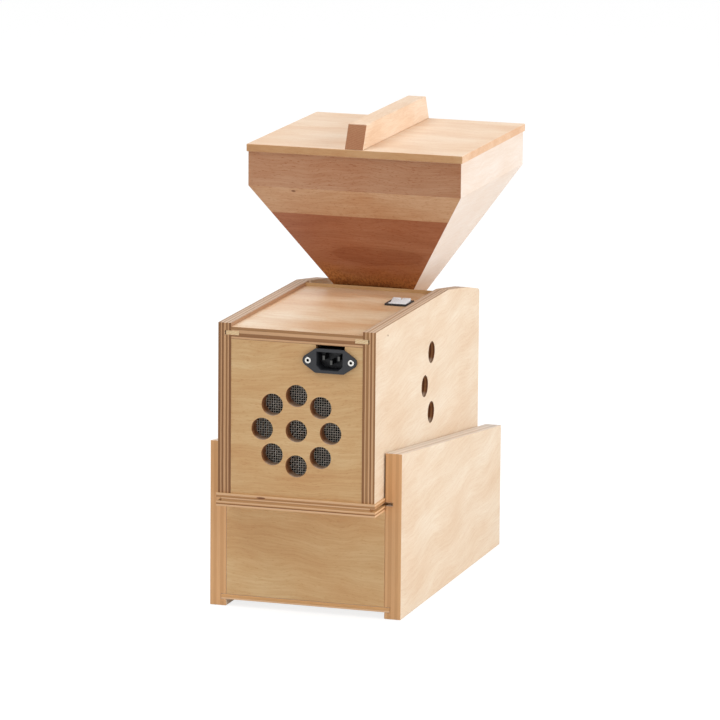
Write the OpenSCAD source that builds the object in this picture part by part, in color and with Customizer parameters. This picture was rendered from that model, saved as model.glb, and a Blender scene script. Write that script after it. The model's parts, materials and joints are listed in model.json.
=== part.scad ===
// Electric stone grain mill in a plywood housing, with a solid beech hopper, lid and flour drawer.
// The front of the mill faces -Y and its mains inlet faces +Y. The origin is on the table,
// below the middle of the whole mill. Depths are counted forward from the housing's rear face.

/* [Housing] */
// Width of the housing over its side panels
housing_w = 147; // [140:1:160]
// Depth of the housing from rear face to front face
housing_d = 323; // [321:1:330]
// Height of the housing's side panels
housing_h = 155; // [153:1:165]
// Thickness of the housing's plywood panels
panel_t = 12; // [11:0.5:13]
// Thickness of the switch panel on top
switch_panel_t = 11; // [9:0.5:12]
// How far the top boards lie below the edges of the side panels
top_sink = 3.3; // [2:0.1:5]
// How far the rear and front panels lie inside the ends of the side panels
end_sink = 0.3; // [0:0.1:1]
// Length of the sloped front part of the housing's top
slope_len = 101; // [98:1:105]
// Angle at which the front part of the top slopes down
top_slope = 7.7; // [6:0.1:8.5]
// Length of the nose, where the top slopes more
nose_len = 41; // [30:1:45]
// Angle at which the nose slopes down
nose_slope = 11.7; // [9:0.1:14]
// Radius of the front corner of the side panels
front_corner_r = 5; // [3:1:8]
// How far the sloped board lies below the edges of the side panels
slope_sink = 8.5; // [8:0.1:9.5]
// Thickness of the sloped board round the hopper
hopper_board_t = 9; // [7:0.5:9.5]
// Thickness of the shelf that carries the hopper
shelf_t = 6; // [5:0.5:7]
// Angle at which the bulkhead's top edge slopes down to the front
bulkhead_bevel = 12; // [11:0.5:16]

/* [Splines and brads] */
// Thickness of the splines between switch panel and side panels
spline_t = 4; // [3:0.5:5]
// Width of a spline
spline_w = 12; // [10:1:13]
// Depth of the spline groove in a side panel
spline_side_depth = 6; // [5:0.5:7]
// Thickness of the splines between deck and base
deck_spline_t = 3; // [2.5:0.5:4]
// Depth of the deck spline's groove in the base's side
deck_spline_depth = 7; // [6:0.5:8]
// Depth of the deck spline's groove in the deck's edge
deck_edge_groove = 5; // [4:0.5:5]
// Radius of a brad
brad_r = 0.8; // [0.6:0.1:1]
// Length of a brad
brad_len = 28; // [22:1:32]
// Depth of the brads from the housing's rear face
brad_d = 35.8; // [25:1:60]

/* [Base] */
// Gap between the housing and the base's side panels
base_gap = 1.2; // [0.8:0.1:3]
// Thickness of the base's side panels
base_side_t = 15.5; // [12:0.5:17]
// How far the base stands back from the housing's rear face
base_set_back = 28; // [20:1:36]
// How far the base reaches out in front of the housing
base_over = 22; // [18:1:26]
// How far the base's side panels reach above the deck at the rear
base_rear_rise = 41; // [25:1:55]
// How far the base's side panels reach above the deck at the front
base_front_rise = 4.5; // [2:0.5:14]
// Height of the deck's underside above the table
deck_z = 99; // [96:1:104]
// Thickness of the deck between base and housing
deck_t = 12; // [11:0.5:12]
// Gap between the deck's edge and the base's side panel
deck_gap = 0.2; // [0.1:0.1:0.4]
// How far the deck stands out behind the housing
deck_over = 1.6; // [0.5:0.1:2.5]
// Thickness of the bottom board
bottom_board_t = 4.8; // [4:0.2:6]
// Height of the bottom board above the table
bottom_board_z = 6; // [4:0.5:8]
// Depth of the groove that holds the bottom board
bottom_groove = 5; // [4:0.5:6]
// Radius of a wood screw's shank
screw_r = 1.8; // [1.5:0.1:2.2]
// Length of the wood screws through the deck
screw_len = 38; // [30:1:45]

/* [Vents] */
// Diameter of every vent hole
vent_hole = 20; // [14:1:22]
// Radius of the ring of vents in the rear panel
vent_ring_r = 32; // [31:1:34]
// Number of vents on that ring
vent_count = 8; // [5:1:8]
// Height of the middle of the rear vents above the deck
vent_rise = 61; // [59:1:66]
// Side of the wire screen behind the rear vents
screen_side = 98; // [94:1:104]
// Thickness of the wire screen
screen_t = 0.8; // [0.6:0.1:1.2]
// Number of meshes along one side of the screen
screen_cells = 12; // [8:1:14]
// Depth of the rearmost vent in a side panel
side_vent_d = 150; // [146:1:154]
// Height of the rearmost vent in a side panel above the deck
side_vent_rise = 78.3; // [75:0.1:83]
// Distance of the other two side vents towards the front
side_vent_step_d = 20.2; // [18:0.1:24]
// Distance of the other two side vents up and down
side_vent_step_z = 27.9; // [24:0.1:30]

/* [Mains inlet and switch] */
// Distance of the mains inlet from the inner face of the nearer side panel
inlet_in = 30.3; // [28:0.1:33]
// Distance of the mains inlet below the switch panel
inlet_drop = 14; // [12.5:0.1:16]
// Distance between the two fixing rivets of the inlet
inlet_pitch = 40; // [38:1:42]
// Height of the inlet's flange
inlet_flange_h = 22; // [21.5:0.5:25]
// Thickness of the inlet's flange
inlet_flange_t = 2.5; // [2:0.1:3]
// Width of the inlet's body
inlet_body_w = 26.6; // [25:0.1:28]
// Height of the inlet's body
inlet_body_h = 20; // [19:0.5:21]
// Depth of the inlet's recess
inlet_recess = 16; // [14:1:18]
// Radius of the rivets' heads
rivet_head_r = 2.8; // [2.4:0.1:3.2]
// Distance of the switch from the inner face of the nearer side panel
switch_in = 14.8; // [13:0.1:18]
// Depth of the middle of the switch from the rear face
switch_d = 156; // [150:1:160]
// Width of the switch's frame
switch_w = 21; // [20:0.5:22]
// Length of the switch's frame
switch_len = 23.5; // [22:0.5:27]
// Height of the switch's frame above its panel
switch_rim_h = 1.8; // [1:0.1:3]
// Height of the switch's body below the upper face of its panel
switch_body_h = 25; // [24:0.5:26]
// Angle by which the rocker stands over at either end
rocker_tilt = 8; // [5:0.5:9]
// Length of the notch in the rocker's raised end
rocker_notch = 3.5; // [2:0.5:5]

/* [Motor] */
// Gap between the motor's shell and the deck
motor_gap = 5; // [4:0.5:6]
// Radius of the motor's shaft
shaft_r = 7.5; // [6:0.5:8.5]
// Outer radius of the motor's shell
motor_r = 50; // [48:1:51]
// Wall of the motor's shell
motor_wall = 2.5; // [2:0.5:4]
// Depth of the rear end of the motor's shell from the housing's rear face
motor_rear = 112; // [106:1:116]
// Room for the cooling fan between the motor's shell and the cowl's end
fan_room = 44; // [42:0.5:46]
// Length over which the fan's cowl is pushed on the rear shield
cowl_lap = 6; // [4:0.5:8]
// Wall of the fan's cowl
cowl_wall = 1.2; // [1:0.1:2]
// Length of the cooling fan
fan_len = 17; // [14:0.5:19]
// Outer radius of the rotor
rotor_r = 26.5; // [24:0.5:30]
// Air gap between rotor and stator
air_gap = 0.5; // [0.4:0.1:1]
// Outer radius of a ball bearing
bearing_r = 17.5; // [16:0.5:19]
// Width of a ball bearing
bearing_w = 11; // [9:0.5:11]
// Outer radius of the cooling fan
fan_r = 42; // [36:1:44]
// Number of fan blades
fan_blades = 9; // [5:1:13]
// How far the square flange of motor and chamber reaches past the motor's shell
flange_over = 2; // [1:0.5:4]
// Distance of the flange bolts from the flange's edges
bolt_edge = 7; // [6:0.5:8]
// Radius of the flange bolts
bolt_r = 3; // [2.5:0.5:3]
// Radius of the run capacitor
capacitor_r = 15; // [12:0.5:17]
// Length of the run capacitor
capacitor_len = 62; // [50:1:70]
// Radius of an insulated wire
wire_r = 1.4; // [1:0.1:1.6]

/* [Mill stones] */
// Radius of both mill stones
stone_r = 42.5; // [38:0.5:43]
// Thickness of one mill stone
stone_t = 13; // [12:0.5:13]
// Gap between the stones at the finest setting
stone_gap = 0.4; // [0.3:0.1:0.6]
// Radius of the eye of the fixed stone
eye_r = 17; // [16:0.5:18]
// Room between the stones and the chamber's wall
stone_room = 3.5; // [3:0.1:4]
// Wall of the grinding chamber
chamber_wall = 3.5; // [3:0.5:4]
// Number of furrows in a stone's face
furrows = 10; // [6:1:12]
// Width of a furrow
furrow_w = 3; // [2:0.5:4]
// Depth of a furrow
furrow_deep = 1.5; // [0.5:0.5:2]
// Clearance of the feed auger in the eye of the fixed stone
auger_gap = 2; // [1.5:0.5:4]
// Height of the feed elbow above the shaft
elbow_h = 35; // [32:1:36]
// Clearance of the feed chute over the grinding chamber
chute_gap = 1.4; // [1:0.1:2]
// Inner width of the flour outlet
outlet_w = 38; // [30:1:42]
// Height of the flour outlet's mouth inside the chamber
outlet_mouth = 12; // [10:0.5:14]
// Wall of the feed elbow
elbow_wall = 3; // [2.5:0.5:3.5]
// Half the inner width of the feed elbow
elbow_half = 20; // [19:0.5:22]
// Length of the feed elbow in front of the carrier
elbow_len = 33.6; // [32:0.1:34]
// Wall of the feed chute
chute_wall = 2; // [1.5:0.1:2.5]
// Thickness of the feed auger's flight
flight_t = 3.2; // [2.4:0.2:4]
// Radius of the adjusting spindle
spindle_r = 7; // [5:0.5:8]
// Radius of the adjusting knob
knob_r = 24; // [18:1:30]
// Length of the adjusting knob
knob_len = 20; // [18:1:24]

/* [Hopper] */
// Outer width of the hopper at its top
hopper_w = 203; // [190:1:212]
// Distance of the hopper's middle from the housing's front face
hopper_back = 58; // [57:0.5:59]
// Height of the hopper's top edge above the housing's top
hopper_rise_h = 127.6; // [115:0.1:139]
// Height of the upright band round the hopper's top
hopper_band = 31.6; // [25:0.1:34]
// Outer width of the hopper where it enters the housing
hopper_neck_w = 79; // [76:0.5:79.5]
// Thickness of the hopper's boards
hopper_board = 20; // [18:0.5:20.5]
// Width of the hopper's outlet
hopper_outlet = 30; // [26:1:32]

/* [Lid] */
// How far the lid stands out over the hopper on each side
lid_over = 1.5; // [0.5:0.1:3]
// Thickness of the lid
lid_t = 7.1; // [6:0.1:9]
// Width of the grip bar
grip_w = 17.7; // [14:0.1:24]
// Height of the grip bar
grip_h = 22.2; // [16:0.1:30]
// How far the grip bar's ends lean back at the top
grip_lean = 11; // [5:0.5:15]

/* [Flour drawer] */
// Gap between the drawer and the boards round it
drawer_gap = 0.6; // [0.4:0.1:1]
// Gap between the drawer's sides and the bottom board
drawer_lift = 0.3; // [0.2:0.1:0.5]
// Thickness of the drawer's front
drawer_front_t = 12; // [10:0.5:14]
// Thickness of the drawer's sides and back
drawer_side_t = 8; // [6:0.5:10]
// Thickness of the drawer's bottom
drawer_bottom_t = 4; // [3:0.5:5]
// Gap between the top of the drawer's sides and the deck
drawer_headroom = 10.9; // [5:0.1:30]
// Room behind the drawer when it is shut
drawer_backroom = 22; // [10:1:60]
// Radius of the drawer's knob
drawer_knob_r = 13; // [10:0.5:16]
// How far the drawer's knob stands out
drawer_knob_len = 20; // [14:0.5:22]

/* [Hidden] */
$fn = 64;
// Small overshoot of a cut past the face that it opens
cut = 0.5;
// Running clearance of the shaft in its bearings, and of pressed parts on the shaft
fit = 0.05;

// Heights of the housing
deck_top = deck_z + deck_t;
top_z = deck_top + housing_h;
level_top_d = housing_d - slope_len;
nose_d = housing_d - nose_len;
hopper_d = housing_d - hopper_back;
hopper_top_z = top_z + hopper_rise_h;
board_z = top_z - top_sink;
switch_under_z = board_z - switch_panel_t;
inner_half = housing_w / 2 - panel_t;
// Distance from the origin to the housing's rear face
rivet_head_h = 0.6;
rear_reach = inlet_flange_t + rivet_head_h - end_sink;
front_reach = hopper_d + hopper_w / 2 + lid_over;
rear_y = (front_reach - rear_reach) / 2;
front_back = housing_d - end_sink - panel_t;
// Centre of the front corner's arc
corner_d = housing_d - front_corner_r;
corner_z = slope_z(corner_d) - front_corner_r / cos(nose_slope);
panel_front = housing_d - end_sink;
sloped_t = hopper_board_t / cos(top_slope);
// Base
base_half = housing_w / 2 + base_gap;
base_front = housing_d + base_over;
deck_half = base_half - deck_gap;
groove_z = deck_z + 6.4;
board_top_z = bottom_board_z + bottom_board_t;
screw_x = housing_w / 2 - panel_t / 2;
screw_depths = [housing_d * 0.2, housing_d * 0.8];
screw_head_r = 2 * screw_r;
pilot_gap = 0.1;
// Splines at the rear edge of the switch panel
spline_z = switch_under_z + switch_panel_t / 2;
spline_out = inner_half + spline_side_depth - 1.3;
// Hopper
hopper_half = hopper_w / 2;
neck_z = top_z - 2;
band_z = hopper_top_z - hopper_band;
hopper_rise = (hopper_half - hopper_neck_w / 2) / (band_z - neck_z);
hopper_wall = hopper_board * sqrt(1 + hopper_rise * hopper_rise);
shelf_gap = 0.2;
hopper_bottom_z = board_top(front_back) - sloped_t - shelf_gap;
shelf_z = hopper_bottom_z - shelf_t;
hopper_gap = 0.7;
throat_gap = 0.5;
// Bulkhead between motor and mill stones, whose top edge lies just behind the hopper
bulkhead_front = hopper_d - hopper_out(top_z) - hopper_gap;
bulkhead_d = bulkhead_front - panel_t;
// Motor along the shaft
shield_plate = 8;
shield_step = 4;
motor_front = bulkhead_d - shield_plate - shield_step;
shaft_z = deck_top + motor_r + motor_gap;
rear_shield_t = 12;
cowl_r = motor_r - 0.8;
cowl_rear = motor_rear - fan_room;
fan_rear = cowl_rear + 12;
shaft_rear = cowl_rear + 8;
flange_half = motor_r + flange_over;
flange_bolt = flange_half - bolt_edge;
winding_t = 11.5;
core_gap = 0.1;
core_front = motor_front - winding_t - 6;
core_rear = motor_rear + winding_t + 6.5;
terminal_half = 12;
shell_top = shaft_z + motor_r;
terminal_top = shell_top + 7;
terminal_d = (core_rear + core_front) / 2;
bolt_gap = 0.1;
// Grinding chamber and stones along the shaft
chamber_r = stone_r + stone_room;
chamber_out_r = chamber_r + chamber_wall;
auger_r = eye_r - auger_gap;
chamber_plate = 6;
plate_front = bulkhead_front + chamber_plate;
holder_rear = plate_front + 1.5;
holder_t = 5;
runner_rear = holder_rear + holder_t;
runner_front = runner_rear + stone_t;
hub_r = shaft_r + 5.5;
hub_len = 7;
shaft_front = runner_front - 2;
fixed_rear = runner_front + stone_gap;
fixed_front = fixed_rear + stone_t;
carrier_t = 6;
carrier_front = fixed_front + carrier_t;
carrier_gap = 0.4;
chamber_front = fixed_front + 4.6;
outlet_rear = plate_front + 6.5;
outlet_front = chamber_front - 4;
// Feed elbow in front of the fixed stone, and the chute that fills it
elbow_front = carrier_front + elbow_len;
elbow_under = shaft_z - eye_r - 1;
elbow_top = shaft_z + elbow_h;
chute_half = elbow_half - 1;
chute_rear = carrier_front + 2.6;
chute_front = elbow_front - elbow_wall - 1;
chute_under = elbow_top - 5;
chute_top_rear = hopper_d - hopper_outlet / 2 - 2;
chute_top_front = hopper_d + hopper_outlet / 2 + 2;
chute_slope = atan((shelf_z - chute_gap - shaft_z - chamber_out_r) / (chamber_front - chute_top_rear));
auger_front = elbow_front - elbow_wall - 3;
// Knob on the front panel
bush_flange_t = 2;
bush_r = 16;
knob_rear = panel_front + bush_flange_t + 0.3;
knob_front = knob_rear + knob_len;
spindle_gap = 0.35;
spindle_front = knob_front - 5.5;
// Vents
vent_z = deck_top + vent_rise;
side_vent_z = deck_top + side_vent_rise;
// Inlet
inlet_x = inlet_in - inner_half;
inlet_z = switch_under_z - inlet_drop;
flange_rear = end_sink - inlet_flange_t;
pin_w = 2;
pin_h = 4;
pin_pitch = 14;
pin_shift = 4;
pin_rear = flange_rear + 5.4;
tab_front = 31;
inlet_body_front = 22;
// Switch
switch_x = switch_in - inner_half;
rocker_half_w = switch_w / 2 - 2;
rocker_half_len = switch_len / 2 - 2.75;
rocker_edge_h = 3.2;
rocker_pin_r = 1.5;
switch_side_gap = 0.3;
switch_body_half_w = rocker_half_w + 1;
switch_body_half_len = switch_len / 2 - 1.2;
switch_under = board_z - switch_body_h;
lug_x = 5;
lug_d = switch_body_half_len - 4;
lug_len = 8;
cavity_half_len = sqrt(pow(rocker_half_len, 2) + pow(rocker_edge_h, 2)) + switch_side_gap;
// Drawer
drawer_under = board_top_z + drawer_lift;
drawer_half = base_half - drawer_gap;
drawer_front_d = base_front - drawer_front_t;
drawer_rear = base_set_back + panel_t + drawer_backroom;
drawer_h = deck_z - drawer_headroom - drawer_under;
drawer_groove = 3;
drawer_bottom_z = drawer_under + 4.5;
drawer_knob_z = (drawer_under + deck_z) / 2;

// Colours of the real surfaces
plywood = [0.86, 0.70, 0.50];
beech = [0.78, 0.55, 0.40];
pale_wood = [0.90, 0.80, 0.62];
steel = [0.70, 0.71, 0.73];
cast_metal = [0.62, 0.63, 0.64];
black_plastic = [0.08, 0.08, 0.09];

// The y of a depth counted forward from the housing's rear face
function fy(d) = rear_y - d;
// Height of the side panels' top edge at a depth
function slope_z(d) = top_z - max(0, d - level_top_d) * tan(top_slope)
                      - max(0, d - nose_d) * (tan(nose_slope) - tan(top_slope));
// Half the outer width of the hopper at a height
function hopper_out(z) = hopper_neck_w / 2 + (z - neck_z) * hopper_rise;
// Top of the sloped board at a depth
function board_top(d) = top_z - slope_sink - (d - level_top_d) * tan(top_slope);

// A board from its two x, two depths and two heights
module slab(x0, x1, d0, d1, z0, z1) {
    translate([x0, fy(d1), z0]) cube([x1 - x0, d1 - d0, z1 - z0]);
}

// A round bar along the depth
module rod_y(x, z, d0, d1, r) {
    translate([x, fy(d0), z]) rotate([90, 0, 0]) cylinder(h = d1 - d0, r = r);
}

// A round bar across the width
module rod_x(x0, x1, d, z, r) {
    translate([x0, fy(d), z]) rotate([0, 90, 0]) cylinder(h = x1 - x0, r = r);
}

// A round bar upwards
module rod_z(x, d, z0, z1, r) {
    translate([x, fy(d), z0]) cylinder(h = z1 - z0, r = r);
}

// A flat ring round the shaft
module ring_y(z, d0, d1, r_out, r_in) {
    difference() {
        rod_y(0, z, d0, d1, r_out);
        rod_y(0, z, d0 - cut, d1 + cut, r_in);
    }
}

// A shape drawn as y and z, drawn out from x0 to x1
module prism_x(x0, x1) {
    translate([x0, 0, 0]) rotate([90, 0, 90]) linear_extrude(x1 - x0) children();
}

// A shape drawn as x and z, drawn out from depth d0 to d1
module prism_y(d0, d1) {
    translate([0, fy(d0), 0]) rotate([90, 0, 0]) linear_extrude(d1 - d0) children();
}

// Places its children on both sides
module both_sides() {
    children();
    mirror([1, 0, 0]) children();
}

// Outline of a housing side panel: level at the rear, then sloped in two steps to a round front corner
module housing_outline() {
    polygon([[fy(0), deck_top], [fy(0), top_z], [fy(level_top_d), top_z], [fy(nose_d), slope_z(nose_d)],
             [fy(corner_d + front_corner_r * sin(nose_slope)), corner_z + front_corner_r * cos(nose_slope)],
             [fy(housing_d), corner_z], [fy(housing_d), deck_top]]);
    translate([fy(corner_d), corner_z]) circle(front_corner_r);
}

// Grooves for the splines, in the side panel and in the switch panel
module spline_grooves() {
    both_sides() {
        slab(spline_out - spline_w - 0.2, inner_half + spline_side_depth, -cut, bulkhead_d,
             spline_z - spline_t / 2, spline_z + spline_t / 2);
    }
}

// Holes for the brads that pin the switch panel
module brad_holes() {
    both_sides() {
        rod_x(housing_w / 2 - brad_len - 1, housing_w / 2 + cut, brad_d, spline_z, brad_r + pilot_gap);
    }
}

// Holes of the wood screws, up into the side panels
module screw_holes() {
    both_sides() {
        for (d = screw_depths) {
            rod_z(screw_x, d, deck_z - cut, deck_z + screw_len + 1, screw_r + pilot_gap);
        }
    }
}

module side_panel() {
    difference() {
        prism_x(inner_half, housing_w / 2) housing_outline();
        spline_grooves();
        brad_holes();
        screw_holes();
        rod_x(inner_half - cut, housing_w / 2 + cut, side_vent_d, side_vent_z, vent_hole / 2);
        for (s = [-1, 1]) {
            rod_x(inner_half - cut, housing_w / 2 + cut, side_vent_d + side_vent_step_d,
                  side_vent_z + s * side_vent_step_z, vent_hole / 2);
        }
    }
}

module left_side_panel() {
    color(plywood) mirror([1, 0, 0]) side_panel();
}

module right_side_panel() {
    color(plywood) side_panel();
}

// Vent holes of the rear panel: one in the middle and a ring round it
module rear_vents() {
    rod_y(0, vent_z, 0, panel_t + 1, vent_hole / 2);
    for (i = [0 : vent_count - 1]) {
        a = 360 * i / vent_count;
        rod_y(vent_ring_r * sin(a), vent_z + vent_ring_r * cos(a), 0, panel_t + 1, vent_hole / 2);
    }
}

module rear_panel() {
    color(plywood) difference() {
        slab(-inner_half, inner_half, end_sink, end_sink + panel_t, deck_top, switch_under_z);
        rear_vents();
        slab(inlet_x - inlet_body_w / 2 - 0.2, inlet_x + inlet_body_w / 2 + 0.2, 0, panel_t + 1,
             inlet_z - inlet_body_h / 2 - 0.2, switch_under_z + cut);
        for (s = [-1, 1]) {
            rod_y(inlet_x + s * inlet_pitch / 2, inlet_z, 0, panel_t + 1, rivet_shank_r + pilot_gap);
        }
    }
}

// The front panel reaches up to the underside of the sloped board
module front_panel() {
    color(plywood) difference() {
        prism_x(-inner_half, inner_half) {
            polygon([[fy(panel_front), deck_top], [fy(panel_front), board_top(panel_front) - sloped_t],
                     [fy(front_back), board_top(front_back) - sloped_t], [fy(front_back), deck_top]]);
        }
        rod_y(0, shaft_z, front_back - cut, housing_d + cut, spindle_r + 2.5);
    }
}

// Opening for the switch, through the switch panel and the edge of one spline
module switch_opening() {
    slab(switch_x - switch_body_half_w - pilot_gap, switch_x + switch_body_half_w + pilot_gap,
         switch_d - switch_body_half_len - pilot_gap, switch_d + switch_body_half_len + pilot_gap,
         switch_under_z - cut, board_z + cut);
}

module switch_panel() {
    color(plywood) difference() {
        slab(-inner_half, inner_half, end_sink, bulkhead_d, switch_under_z, board_z);
        spline_grooves();
        brad_holes();
        switch_opening();
    }
}

module bulkhead() {
    color(plywood) difference() {
        prism_x(-inner_half, inner_half) {
            polygon([[fy(bulkhead_d), deck_top], [fy(bulkhead_d), top_z],
                     [fy(bulkhead_front), top_z - panel_t * tan(bulkhead_bevel)],
                     [fy(bulkhead_front), deck_top]]);
        }
        rod_y(0, shaft_z, bulkhead_d - cut, bulkhead_front + cut, shaft_r + 6);
        flange_bolt_holes(bulkhead_d, bulkhead_front);
    }
}

// The board round the hopper has a notch, open to the bulkhead, that follows the hopper's taper
notch_front = (hopper_d + hopper_neck_w / 2 + hopper_gap
               + hopper_rise * (top_z - slope_sink + level_top_d * tan(top_slope) - neck_z))
              / (1 + hopper_rise * tan(top_slope));

module hopper_board_sloped() {
    rear_half = hopper_out(board_top(bulkhead_front)) + hopper_gap;
    front_half = hopper_out(board_top(notch_front)) + hopper_gap;
    color(plywood) difference() {
        prism_x(-inner_half, inner_half) {
            polygon([[fy(bulkhead_front), board_top(bulkhead_front)],
                     [fy(panel_front), board_top(panel_front)],
                     [fy(panel_front), board_top(panel_front) - sloped_t],
                     [fy(bulkhead_front), board_top(bulkhead_front) - sloped_t]]);
        }
        translate([0, 0, shelf_z]) linear_extrude(top_z - shelf_z) {
            polygon([[-rear_half, fy(bulkhead_front - cut)], [rear_half, fy(bulkhead_front - cut)],
                     [rear_half, fy(bulkhead_front)], [front_half, fy(notch_front)],
                     [-front_half, fy(notch_front)], [-rear_half, fy(bulkhead_front)]]);
        }
    }
}

module hopper_shelf() {
    hole = hopper_outlet / 2 + throat_gap;
    color(plywood) difference() {
        slab(-inner_half, inner_half, bulkhead_front, front_back, shelf_z, hopper_bottom_z);
        slab(-hole, hole, hopper_d - hole, hopper_d + hole, shelf_z - cut, hopper_bottom_z + cut);
    }
}

module panel_splines() {
    color(pale_wood) difference() {
        both_sides() {
            slab(spline_out - spline_w, spline_out, end_sink, bulkhead_d,
                 spline_z - spline_t / 2 + fit, spline_z + spline_t / 2 - fit);
        }
        brad_holes();
        switch_opening();
    }
}

module panel_brads() {
    head_sink = 0.6;
    color(steel) both_sides() {
        rod_x(housing_w / 2 - brad_len, housing_w / 2 - head_sink, brad_d, spline_z, brad_r);
    }
}

module deck() {
    outlet_gap = 1;
    color(plywood) difference() {
        slab(-deck_half, deck_half, -deck_over, base_front, deck_z, deck_top);
        both_sides() {
            slab(deck_half - deck_edge_groove, deck_half + cut, -deck_over - cut, base_front + cut,
                 groove_z - deck_spline_t / 2, groove_z + deck_spline_t / 2);
            for (d = screw_depths) {
                translate([screw_x, fy(d), deck_z - 0.01]) {
                    cylinder(h = screw_head_r - screw_r, r1 = screw_head_r + 0.1, r2 = screw_r + 0.1);
                }
            }
        }
        screw_holes();
        slab(-outlet_w / 2 - chamber_wall - outlet_gap, outlet_w / 2 + chamber_wall + outlet_gap,
             outlet_rear - chamber_wall - outlet_gap, outlet_front + chamber_wall + outlet_gap,
             deck_z - cut, deck_top + cut);
    }
}

// A side of the base: higher at the rear, with grooves for the bottom board and the deck's spline
module base_side() {
    difference() {
        prism_x(base_half, base_half + base_side_t) {
            polygon([[fy(base_set_back), 0], [fy(base_set_back), deck_top + base_rear_rise],
                     [fy(base_front), deck_top + base_front_rise], [fy(base_front), 0]]);
        }
        slab(base_half - cut, base_half + bottom_groove, base_set_back - cut, base_front - 6,
             bottom_board_z, board_top_z);
        slab(base_half - cut, base_half + deck_spline_depth, base_set_back - cut, base_front - 6,
             groove_z - deck_spline_t / 2, groove_z + deck_spline_t / 2);
    }
}

module base_left_side() {
    color(plywood) mirror([1, 0, 0]) base_side();
}

module base_right_side() {
    color(plywood) base_side();
}

module base_rear_panel() {
    color(plywood) slab(-base_half, base_half, base_set_back, base_set_back + panel_t, board_top_z, deck_z);
}

module base_bottom_board() {
    w = base_half + bottom_groove;
    color(plywood) slab(-w, w, base_set_back, base_front - 6, bottom_board_z, board_top_z);
}

// The deck's splines start a little in front of the base's rear end, so their grooves show empty there
module deck_splines() {
    color(pale_wood) both_sides() {
        slab(deck_half - deck_edge_groove + 0.5, base_half + deck_spline_depth - 0.5,
             base_set_back + 8, base_front - 7,
             groove_z - deck_spline_t / 2 + fit, groove_z + deck_spline_t / 2 - fit);
    }
}

module deck_screws() {
    color(steel) both_sides() {
        for (d = screw_depths) {
            translate([screw_x, fy(d), deck_z + 0.1]) difference() {
                union() {
                    cylinder(h = screw_head_r - screw_r, r1 = screw_head_r, r2 = screw_r);
                    cylinder(h = screw_len, r = screw_r);
                }
                translate([0, 0, -0.1]) cylinder(h = 1.2, r = screw_r * 0.7, $fn = 6);
            }
        }
    }
}

// Wire screen on the inside of the rear panel
module vent_screen() {
    cell = screen_side / screen_cells;
    wire = 1;
    rear = end_sink + panel_t;
    color(steel) difference() {
        slab(-screen_side / 2, screen_side / 2, rear, rear + screen_t,
             vent_z - screen_side / 2, vent_z + screen_side / 2);
        prism_y(rear - cut, rear + screen_t + cut) translate([-screen_side / 2, vent_z - screen_side / 2]) {
            for (i = [0 : screen_cells - 1], j = [0 : screen_cells - 1]) {
                translate([i * cell + wire / 2, j * cell + wire / 2]) square(cell - wire);
            }
        }
    }
}

// Outline of the inlet's flange: straight over the body, with ears that taper to round ends
module flange_outline() {
    ear_r = 5.2;
    x = inlet_body_w / 2;
    h = inlet_flange_h / 2;
    run = inlet_pitch / 2 - x;
    a = atan2(run, h) + asin(ear_r / sqrt(run * run + h * h));
    tx = inlet_pitch / 2 + ear_r * cos(a);
    tz = ear_r * sin(a);
    polygon([[-x, h], [x, h], [tx, tz], [tx, -tz], [x, -h], [-x, -h], [-tx, -tz], [-tx, tz]]);
    for (s = [-1, 1]) {
        translate([s * inlet_pitch / 2, 0]) circle(ear_r);
    }
}

// Outline of the recess that takes the plug of the mains lead
module recess_outline() {
    w = 12.2;
    h = 8.2;
    corner = 4.2;
    polygon([[-w, h], [w, h], [w, corner - h], [w - corner, -h], [corner - w, -h], [-w, corner - h]]);
}

module one_pin(x, z, tip) {
    slab(x - pin_w / 2, x + pin_w / 2, tip, tab_front, z - pin_h / 2, z + pin_h / 2);
}

module inlet_pins() {
    color("silver") {
        one_pin(inlet_x - pin_pitch / 2, inlet_z + pin_shift / 2, pin_rear);
        one_pin(inlet_x + pin_pitch / 2, inlet_z + pin_shift / 2, pin_rear);
        one_pin(inlet_x, inlet_z - pin_shift / 2, pin_rear);
    }
}

rivet_shank_r = 1.9;
rivet_bore_r = 1.3;

module inlet_socket() {
    color(black_plastic) difference() {
        union() {
            prism_y(flange_rear, end_sink) translate([inlet_x, inlet_z]) flange_outline();
            slab(inlet_x - inlet_body_w / 2, inlet_x + inlet_body_w / 2, end_sink - 0.1, inlet_body_front,
                 inlet_z - inlet_body_h / 2, inlet_z + inlet_body_h / 2);
        }
        prism_y(flange_rear - cut, flange_rear + inlet_recess) {
            translate([inlet_x, inlet_z]) recess_outline();
        }
        for (s = [-1, 1]) {
            rod_y(inlet_x + s * inlet_pitch / 2, inlet_z, flange_rear - cut, end_sink + cut,
                  rivet_shank_r + pilot_gap);
        }
        inlet_pins();
    }
}

// Hollow rivets through flange and panel, with a head outside and a rolled end inside
module inlet_rivets() {
    color(steel) for (s = [-1, 1]) {
        x = inlet_x + s * inlet_pitch / 2;
        difference() {
            union() {
                rod_y(x, inlet_z, flange_rear - rivet_head_h, flange_rear, rivet_head_r);
                rod_y(x, inlet_z, flange_rear - rivet_head_h, end_sink + panel_t + rivet_head_h,
                      rivet_shank_r);
                rod_y(x, inlet_z, end_sink + panel_t, end_sink + panel_t + rivet_head_h, rivet_head_r);
            }
            rod_y(x, inlet_z, flange_rear - 1, end_sink + panel_t + 1, rivet_bore_r);
        }
    }
}

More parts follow.
